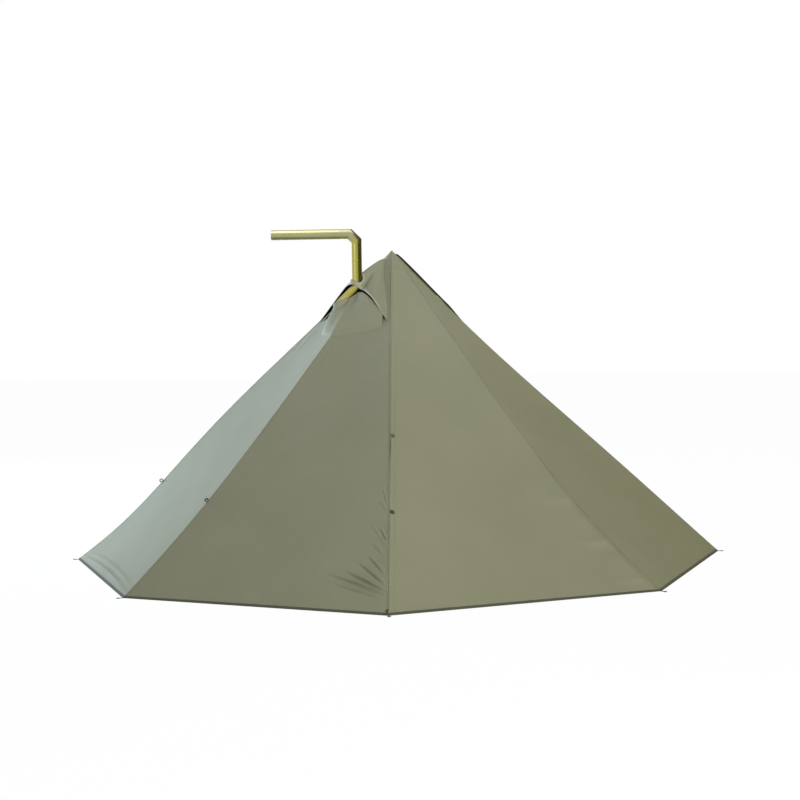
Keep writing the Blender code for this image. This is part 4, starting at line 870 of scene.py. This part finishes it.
def makeHood(name, kind, finish, bindingFinish, node, pipe=None):
    # an outer cloth and a black lining a little below it, which is painted shade for the hood's underside,
    # with a bound lip, and a bead round the pipe if one goes through
    u, v = clothGrid(hood["rows"])
    cut = np.stack((v, u), -1) * hood["cutSize"]

    def layer(suffix, cloth, below=0.0, away=None):
        points, faces = hoodPoints(kind, u, v, below * arch(v) * u), gridFaces(*u.shape)
        if pipe is not None:
            points, faces = opened(points, faces, *roundEdge(points, pipe, hood["pipeHole"]))
        piece = addPiece(name + suffix, points, faces, cloth, cut=cut, away=away, sharp=None)
        return filed(piece, "hood_cloth"), points.reshape(-1, 3)[np.unique(faces)]

    body, corners = layer("", finish, away=insideHood)
    even = np.linspace(0, 1, hood["lipSteps"])
    lip = hoodPoints(kind, np.ones(even.shape), between(hood["ends"], 1 - hood["ends"], even))
    thinning = 1 - smoothStep(even, hood["thinShare"], kind["thinFrom"], hood["thinSpan"])
    taper = (arch(between(hood["lipEnds"], 1 - hood["lipEnds"], even), 0.5) * thinning)[:, None]
    lip = lip - up * kind["binding"] * (kind["tall"] - 1) * taper
    edge = tubeAlong(lip, kind["binding"] * taper, hood["lipSides"], kind["tall"])
    binding = addCloth(name + "Binding", edge, bindingFinish, away=None, tube=True)
    # painted shade: a black sheet just under the hood darkens its underside
    lining, _ = layer("ShadeLining", blackClothAndPaintedShade, below=hood["liningDrop"])
    if pipe is not None:
        onRim = np.abs(lengths(corners[:, :2] - pipe) - hood["pipeHole"]) < tiny
        ring = ringAlong(corners[onRim], pipe, hood["cuff"])
        cuff = addCloth(name + "Cuff", ring, bindingFinish, away=None, loop=True, tube=True)
        filed(cuff, "hood_cloth")
    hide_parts(node)
    return body, filed(binding, "hood_cloth"), lining


jackPieces = makeHood("jackHood", jack, olive, beige, "jack_hood", pipe=upperPipe)
# the vent hood's near-black cloth and binding are painted shade
ventPieces = makeHood("ventHood", vent, paintedShadeOlive, paintedShadeOlive, "vent_hood")
patch = dict(
    edgeW=0.14, topT=0.100, seam=0.006, footT=0.212, pipeHole=0.0334, columns=36, rows=40, cutWidth=0.25
)


def makePatch(name, firstW, lift, finish, node, slotName, pipe=None):
    # cloth lapped over the ridge, following the canopy a little above it
    half = np.linspace(patch["edgeW"], 1, patch["columns"])
    w = np.unique(np.concatenate((half, 2 - half)))[None]
    seam = arch((w - hood["footW"]) / (2 - 2 * hood["footW"]), 0.5)
    top = np.maximum(patch["topT"], between(hood["footT"], jack["topT"], seam) + patch["seam"])
    t = between(top, patch["footT"], np.linspace(0, 1, patch["rows"])[:, None])
    t, w = np.broadcast_arrays(t, firstW + w)
    points, faces = liftedAt(w, t, lift), gridFaces(*t.shape)
    if pipe is not None:
        points, faces = opened(points, faces, *roundEdge(points, pipe, patch["pipeHole"]))
    cut = np.stack((w * patch["cutWidth"], t * slantLength), -1)
    made = addPiece(name, points, faces, finish, cut=cut, away=insideTent, sharp=tent["sharp"])
    return filed(made, slotName, node)


jackPatch = makePatch("jackPatch", 0, 0.0013, blackClothAndPaintedShade, "jack_patch", "black_jack_cloth", lowerPipe)
ventNet = makePatch("ventNet", 4, 0.0010, netting, "vent_net", "netting")
pocket = dict(
    firstW=0.16, spanW=1.68, baseT=0.268, footT=0.248, basePower=0.7,
    gapT=0.012, open=(0.043, 0.40, 0.30), slack=(0.75, 0.68, 0.12),  # height, start, span
    rise=0.90, rowPower=1.2, dip=(0.50, 0.50, 0.17), pipePower=(0.75, 0.66, 0.20),  # height, place, width
    held=(0.001, 0.12, 0.25), heldSteps=60,  # off the pipe, less towards the foot
    pipeRadius=0.0325, clearance=0.006, bendNeck=0.060,
    seat=0.0014, seamSeat=0.0012, seamT=0.242, rows=33, cutSize=(0.6, 0.2), binding=0.0030, bindingFlat=0.6,
)
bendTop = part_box("flue_offset")[1][2] - pocket["bendNeck"]
bendFoot = bendTop - (upperPipe[0] - lowerPipe[0])


def flueDistance(points):
    # least distance to the flue's axis: up the lower pipe, along the offset and up the upper one
    route = ((*lowerPipe, 0), (*lowerPipe, bendFoot), (*upperPipe, bendTop), (*upperPipe, tent["peakHeight"]))
    found = np.inf
    for start, end in zip(route, route[1:]):
        run = np.subtract(end, start)
        share = np.clip((points - start) @ run / (run @ run), 0, 1)
        found = np.minimum(found, lengths(points - start - run * share[..., None]))
    return found


def pocketPoints(u, v):
    # rows from the sewn base (u 0) to the rim (u 1), which runs beside the hood's lip and falls open
    # past the pipe; the rise is a share of the hood's, times u to a power, 1.2 falling to 0.45 over
    # the pipe
    w = pocket["firstW"] + pocket["spanW"] * v
    line = arch((w - hood["footW"]) / (2 - 2 * hood["footW"]), hood["lipPower"])
    highest = hood["lipT"] + pocket["gapT"] + smoothStep(v, *pocket["open"])
    rim = between(hood["footT"] + hood["lipLap"], highest, line)
    t = between(between(pocket["footT"], pocket["baseT"], arch(v, pocket["basePower"])), rim, u)
    rise = pocket["rise"] - humps(v, pocket["dip"]) - smoothStep(v, *pocket["slack"])
    rise = rise * jack["lipRise"] * line * u ** (pocket["rowPower"] - humps(v, pocket["pipePower"]))
    seated = liftedAt(w, t, pocket["seat"] + pocket["seamSeat"] * (t < pocket["seamT"]))
    outs = slopeNormal(w)
    step = smoothStep(u, *pocket["held"])
    for _ in range(pocket["heldSteps"]):
        points = seated + outs * rise[..., None]
        rise = rise + step * (flueDistance(points) < pocket["pipeRadius"] + pocket["clearance"])
    return points


def makePocket():
    u, v = clothGrid(pocket["rows"])
    points = pocketPoints(u, v)
    body = addCloth("jackPocket", points, olive, np.stack((v, u), -1) * pocket["cutSize"], away=insideHood)
    edge = tubeAlong(points[-1], pocket["binding"], flatten=pocket["bindingFlat"])
    binding = addCloth("jackPocketBinding", edge, olive, away=None, tube=True)
    return filed(body, "olive_cloth", "jack_pocket"), filed(binding, "olive_cloth")


pocketPieces = makePocket()
print("jack and vent made")

# Storm flap over the zip
flap = dict(
    width=0.034, rise=0.0012, power=1.5, billow=(0.010, 0.60, 0.03), seam=0.0013, lap=0.0007,
    top=0.284, bottom=0.992, rows=320, columns=15, thickness=0.0008,
)


def flapPoints(share, t):
    # from the seam on the front right gore (share 0) to the free edge along the front ridge (share 1)
    inset = flap["seam"] + flap["width"] * (1 - share)
    rise = (flap["rise"] + humps(t, flap["billow"])) * share ** flap["power"]
    front = tent["gores"]
    across = lengths(ridgeLine(front, t) - ridgeLine(front - 1, t))
    return liftedAt(front - inset / across, t, flap["lap"] + rise)


def makeFlap():
    t = np.linspace(flap["top"], flap["bottom"], flap["rows"])
    share, t = np.meshgrid(np.linspace(0, 1, flap["columns"]), t)
    cut = np.stack(((share - 0.5) * flap["width"], t * slantLength), -1)
    body = addCloth("doorStormFlap", flapPoints(share, t), oliveFlap, cut, thickness=flap["thickness"])
    return filed(body, "olive_cloth", "door_storm_flap")


flapPiece = makeFlap()

# Zip on the door leaf's edge
zipper = dict(
    tapeWidth=0.009, seam=0.001, lift=0.0003, thickness=0.0006, bottom=0.012, top=0.060, steps=200,
    coilLift=0.0010, coilWidth=0.00115, coilHeight=0.0004, wire=0.0004, pitch=0.0026, perTurn=8,
)


def makeZip():
    # a flat tape, and a coil that winds along its middle as a helix squeezed flat
    start, end = zipper["bottom"], zipLength - zipper["top"]
    path = zipFoot + alongZip * np.linspace(start, end, zipper["steps"])[:, None]
    low, high = zipper["seam"], zipper["seam"] + zipper["tapeWidth"]
    under, over = zipper["lift"], zipper["lift"] + zipper["thickness"]
    section = [(low, under), (low, over), (high, over), (high, under)]
    points = carried(path, acrossLeaf, leafNormal, section)
    tapeMesh = addCloth("zipTape", points, oliveTape, away=None, sharp=20.0, body=None, tube=True)
    turns = (end - start) / zipper["pitch"]
    a = np.linspace(0, 2 * np.pi * turns, int(turns * zipper["perTurn"]))
    along = start + zipper["pitch"] * a / (2 * np.pi)
    across = (low + high) / 2 + zipper["coilWidth"] * np.cos(a)
    out = over + zipper["coilLift"] + zipper["coilHeight"] * np.sin(a)
    helix = zipFoot + alongZip * along[:, None] + acrossLeaf * across[:, None] + leafNormal * out[:, None]
    wires = tubeAlong(helix, zipper["wire"], 4, normal=leafNormal)
    coil = addGrid("zipCoil", wires, coilNylon, body=None, tube=True, sharp=None)
    filed(hangOnDoor(tapeMesh), "olive_cloth", "door_zip_chain")
    filed(hangOnDoor(coil), "olive_cloth")


makeZip()

# Guy loops on five ridges and peg loops at the corners
guy = dict(
    ridges=(1, 2, 3, 4, 5), t=0.737, lift=0.0012, clear=1.02, reach=0.024, width=0.012, band=0.0050,
    foot=0.35, steps=40,
)
peg = dict(
    length=0.036, width=0.022, band=0.004, halfHeight=0.0014, lift=0.0015, foot=0.36, steps=48,
    tail=0.0021, tailGap=0.004, tailSteps=8,
    doorClear=(0.005, 0.0, 0.0), besideDoor=0.006, beyondHem=0.0003,  # two loops keep clear of the door
)


def ringPath(half, foot, steps):
    # (cos a, sin a) times half a width, open at the foot
    a = np.linspace(-foot * np.pi, (1 + foot) * np.pi, steps)
    return half * np.stack((np.cos(a), np.sin(a)), -1)


def makeGuyLoop(index):
    # a webbing strap bent into an arch that stands on the ridge in its upright plane
    t, normal = guy["t"], slopeNormal(index)
    down = unit(ridgeLine(index, t + tent["normalStep"]) - ridgeLine(index, t - tent["normalStep"]))
    out = unit(normal - down * (normal @ down))
    half = (guy["reach"] - guy["band"]) / 2
    centre = liftedAt(index, t, guy["lift"]) + out * half * guy["clear"]
    ring = ringPath(half, guy["foot"], guy["steps"])
    outs = unit(down * ring[:, :1] + out * ring[:, 1:])
    width, thick = guy["width"] / 2, guy["band"] / 2
    section = [(-width, -thick), (width, -thick), (width, thick), (-width, thick)]
    points = carried(centre + outs * half, np.cross(down, out), outs, section)
    return filed(addGrid(f"guyLoop{index}", points, webbing, tube=True, sharp=40.0), "webbing")


def makePegLoop(index):
    # a flat band carried round a ring that lies on the ground, with its two tails at the hem
    out = levelDirection(index)
    start = out * tent["cornerRadius"]
    if index == 0:
        start = start + peg["doorClear"]
    if index == 1:  # square to the next hem, clear of the door's path
        out = levelDirection(1.5)
        alongHem = unit(ridgeLine(2, 1.0) - ridgeLine(1, 1.0))
        start = start + alongHem * peg["besideDoor"] + out * peg["beyondHem"]
    half = (peg["width"] - peg["band"]) / 2
    ring = ringPath(half, peg["foot"], peg["steps"]) + (0, peg["length"] - peg["width"] / 2)
    tail = np.linspace((peg["tail"], 0), (peg["tail"], ring[0, 1] - peg["tailGap"]), peg["tailSteps"])
    line = np.concatenate((tail, ring, tail[::-1] * (-1, 1)))
    path = start + np.cross(up, out) * line[:, :1] + out * line[:, 1:] + up * peg["lift"]
    wide, high = peg["band"] / 2, peg["halfHeight"]
    section = [(share * wide, -high) for share in (-1, -0.4, 0.4, 1)] + [(wide, high), (-wide, high)]
    points = carried(path, np.cross(up, alongPath(path)), up, section)
    name = ridgeNames[index].title().replace("_", "") + "PegLoop"
    made = addGrid(name, points, webbing, tube=True, sharp=40.0)
    return filed(made, "webbing", f"{ridgeNames[index]}_peg_loop")


guyPieces = [makeGuyLoop(index) for index in guy["ridges"]]
for index in range(tent["gores"]):
    makePegLoop(index)
print("webbing made")

# The flue's arm: its elbow is two half bends, which the photograph shows
arm = dict(radius=0.0325, wall=0.0008, corner=0.045, sides=48)


def makeArm():
    # circles up the socket and out along the arm, then back inside; at a bend each is cut on the
    # mitre: spoke minus along times (spoke . mitre) / (along . mitre)
    low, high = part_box("flue_arm")
    axis, corner = high[2] - arm["radius"], arm["corner"]
    x, y = upperPipe
    route = np.array(((x, y, low[2]), (x, y, axis - corner), (x - corner, y, axis), (low[0], y, axis)))
    runs = unit(np.diff(route, axis=0))
    before, after = runs[[0, 0, 1, 2]], runs[[0, 1, 2, 2]]
    sideways = np.array((0.0, 1.0, 0.0))
    a = fullTurn(arm["sides"])[:, None]
    spokes = np.cross(sideways, before)[:, None] * np.cos(a) + sideways * np.sin(a)
    mitre = before + after
    share = (spokes * mitre[:, None]).sum(-1) / (before * mitre).sum(-1)[:, None]
    spokes = spokes - before[:, None] * share[..., None]
    outside = route[:, None] + spokes * arm["radius"]
    inside = route[:, None] + spokes * (arm["radius"] - arm["wall"])
    points = np.concatenate((outside, inside[::-1]))
    made = addGrid("flueArm", points, giltLevel, loop=True, tube=True, body="arm")
    filed(made, "heat_tinted_pipe", "flue_arm")


makeArm()

# CAD nodes that keep their own shape
keptFinishes = {
    nylon: ("zip_slider", "zip_pull", "vent_prop"),
    webbing: ("flap_tab_lower",),
    webbingFaded: ("flap_tab_upper",),
    rubber: ("pole_foot", "pole_tip"),
    alloy: ("pole_section_1", "pole_section_2", "pole_section_3", "pole_section_4"),
    gilt: ("flue_section_lower", "flue_section_middle", "flue_offset", "flue_section_upper"),
    steel: ("flue_collar", "damper_plate", "stove_body", "stove_door", "air_slide", "grate"),
    wire: ("damper_grip", "stove_hinge_pin", "stove_leg_front", "stove_leg_rear"),
}
for finish, nodes in keptFinishes.items():
    for node in nodes:
        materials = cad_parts[node].data.materials
        materials.clear()
        materials.append(finish)

# Camera: the photograph's place and angle
view = dict(
    place=(0.217, -9.441, 1.390), focalPixels=1411.93, imagePixels=800, sensor=36.0,
    yaw=-0.0189, pitch=-0.0367, roll=-0.0161, reach=200.0,
)


def makeCamera():
    data = bpy.data.cameras.new("camera")
    data.sensor_width = view["sensor"]
    data.lens = view["focalPixels"] * view["sensor"] / view["imagePixels"]
    data.clip_end = view["reach"]
    made = bpy.data.objects.new("camera", data)
    bpy.context.scene.collection.objects.link(made)
    made.matrix_world = Matrix.Translation(view["place"])
    for angle, axis in ((-view["yaw"], "Z"), (math.pi / 2 + view["pitch"], "X"), (view["roll"], "Z")):
        made.matrix_world = made.matrix_world @ Matrix.Rotation(angle, 4, axis)
    bpy.context.scene.camera = made


makeCamera()

# Studio: pale floor, white background, soft lamps
studio = dict(
    floorSize=120.0, floorColour=(0.82, 0.82, 0.82), floorShade=0.985, floorGrain=3.0, floorWhite=0.975,
    ambient=0.36, aim=(0, 0, 0.8),
    cards=(  # dark cards that only reflections see: corners of each
        ((3.8, -8.5, 0.2), (3.8, 7.0, 0.2), (3.8, 7.0, 11.0), (3.8, -8.5, 11.0)),
    ),
    cardColour=(0.07, 0.07, 0.03),
)
lamps = (  # name, place, size, power, colour, and whether only reflections see it
    ("keyLamp", (4.3, -9.9, 3.2), 5.0, 880.0, (1.0, 1.0, 1.03), False),
    ("leftLamp", (-8.2, 4.7, 1.6), 4.0, 2400.0, (0.72, 0.90, 1.32), False),
    ("rightLamp", (8.5, 1.5, 1.6), 4.0, 125.0, (1.0, 0.85, 0.15), False),
    ("pipeLamp", (-8.0, -5.5, 4.5), 5.0, 135.0, (1.0, 1.0, 1.0), True),
    ("topLamp", (-0.5, -2.5, 8.5), 6.0, 290.0, (1.0, 1.0, 1.0), True),
)


def rayMask(tree):
    # 1 for camera, glossy and transmission rays
    path = linked(tree, "ShaderNodeLightPath")
    seen = maths(tree, "MAXIMUM", path.outputs["Is Camera Ray"], path.outputs["Is Glossy Ray"])
    return maths(tree, "MAXIMUM", seen, path.outputs["Is Transmission Ray"])


def makeFloor():
    # a flat square whose colour is near white to the camera, and takes the shadow
    half = studio["floorSize"] / 2
    x, y = np.meshgrid(*[np.linspace(-half, half, 3)] * 2)
    finish, tree, shader = newFinish("floor", 0.95, Specular_IOR_Level=0.0)
    stops = [(0.3, shaded(studio["floorColour"], studio["floorShade"])), (0.7, studio["floorColour"])]
    tone = colourRamp(tree, noise(tree, objectPlace(tree), studio["floorGrain"]), stops)
    tree.links.new(tone, shader.inputs["Base Color"])
    glow = linked(tree, "ShaderNodeEmission", dict(Strength=1.0))
    white = times(tree, rayMask(tree), studio["floorWhite"])
    mix = linked(tree, "ShaderNodeMixShader", {0: white, 1: shader.outputs[0], 2: glow.outputs[0]})
    tree.links.new(mix.outputs[0], tree.nodes["Material Output"].inputs["Surface"])
    addGrid("floor", np.stack((x, y, 0 * x), -1), finish, body=None, away=(0, 0, -1))


def makeWorld():
    # white to the camera, and a share of that as light
    world = bpy.data.worlds.new("studio")
    bpy.context.scene.world = world
    world.use_nodes = True
    tree = world.node_tree
    background = tree.nodes["Background"]
    background.inputs["Color"].default_value = (1, 1, 1, 1)
    strength = maths(tree, "MULTIPLY_ADD", rayMask(tree), 1 - studio["ambient"], studio["ambient"])
    tree.links.new(strength, background.inputs["Strength"])


def makeLamp(name, place, size, power, colour, gloss):
    data = bpy.data.lights.new(name, "AREA")
    data.shape, data.size, data.energy, data.color = "DISK", size, power, colour
    made = bpy.data.objects.new(name, data)
    made.visible_diffuse, made.visible_glossy = not gloss, gloss
    bpy.context.scene.collection.objects.link(made)
    turn = (Vector(studio["aim"]) - Vector(place)).to_track_quat("-Z", "Y")
    made.matrix_world = Matrix.Translation(place) @ turn.to_matrix().to_4x4()


def makeCards():
    colour = (*studio["cardColour"], 1.0)
    finish, _, _ = newFinish("darkCard", 1.0, Base_Color=colour, Specular_IOR_Level=0.0)
    for corners in studio["cards"]:
        made = addPiece("card", np.array(corners), np.array([[0, 1, 2, 3]]), finish, body=None)
        made.visible_camera = made.visible_diffuse = made.visible_shadow = False


makeFloor()
makeWorld()
for lamp in lamps:
    makeLamp(*lamp)
makeCards()
bpy.context.scene.view_settings.view_transform = "Standard"
print("studio made")
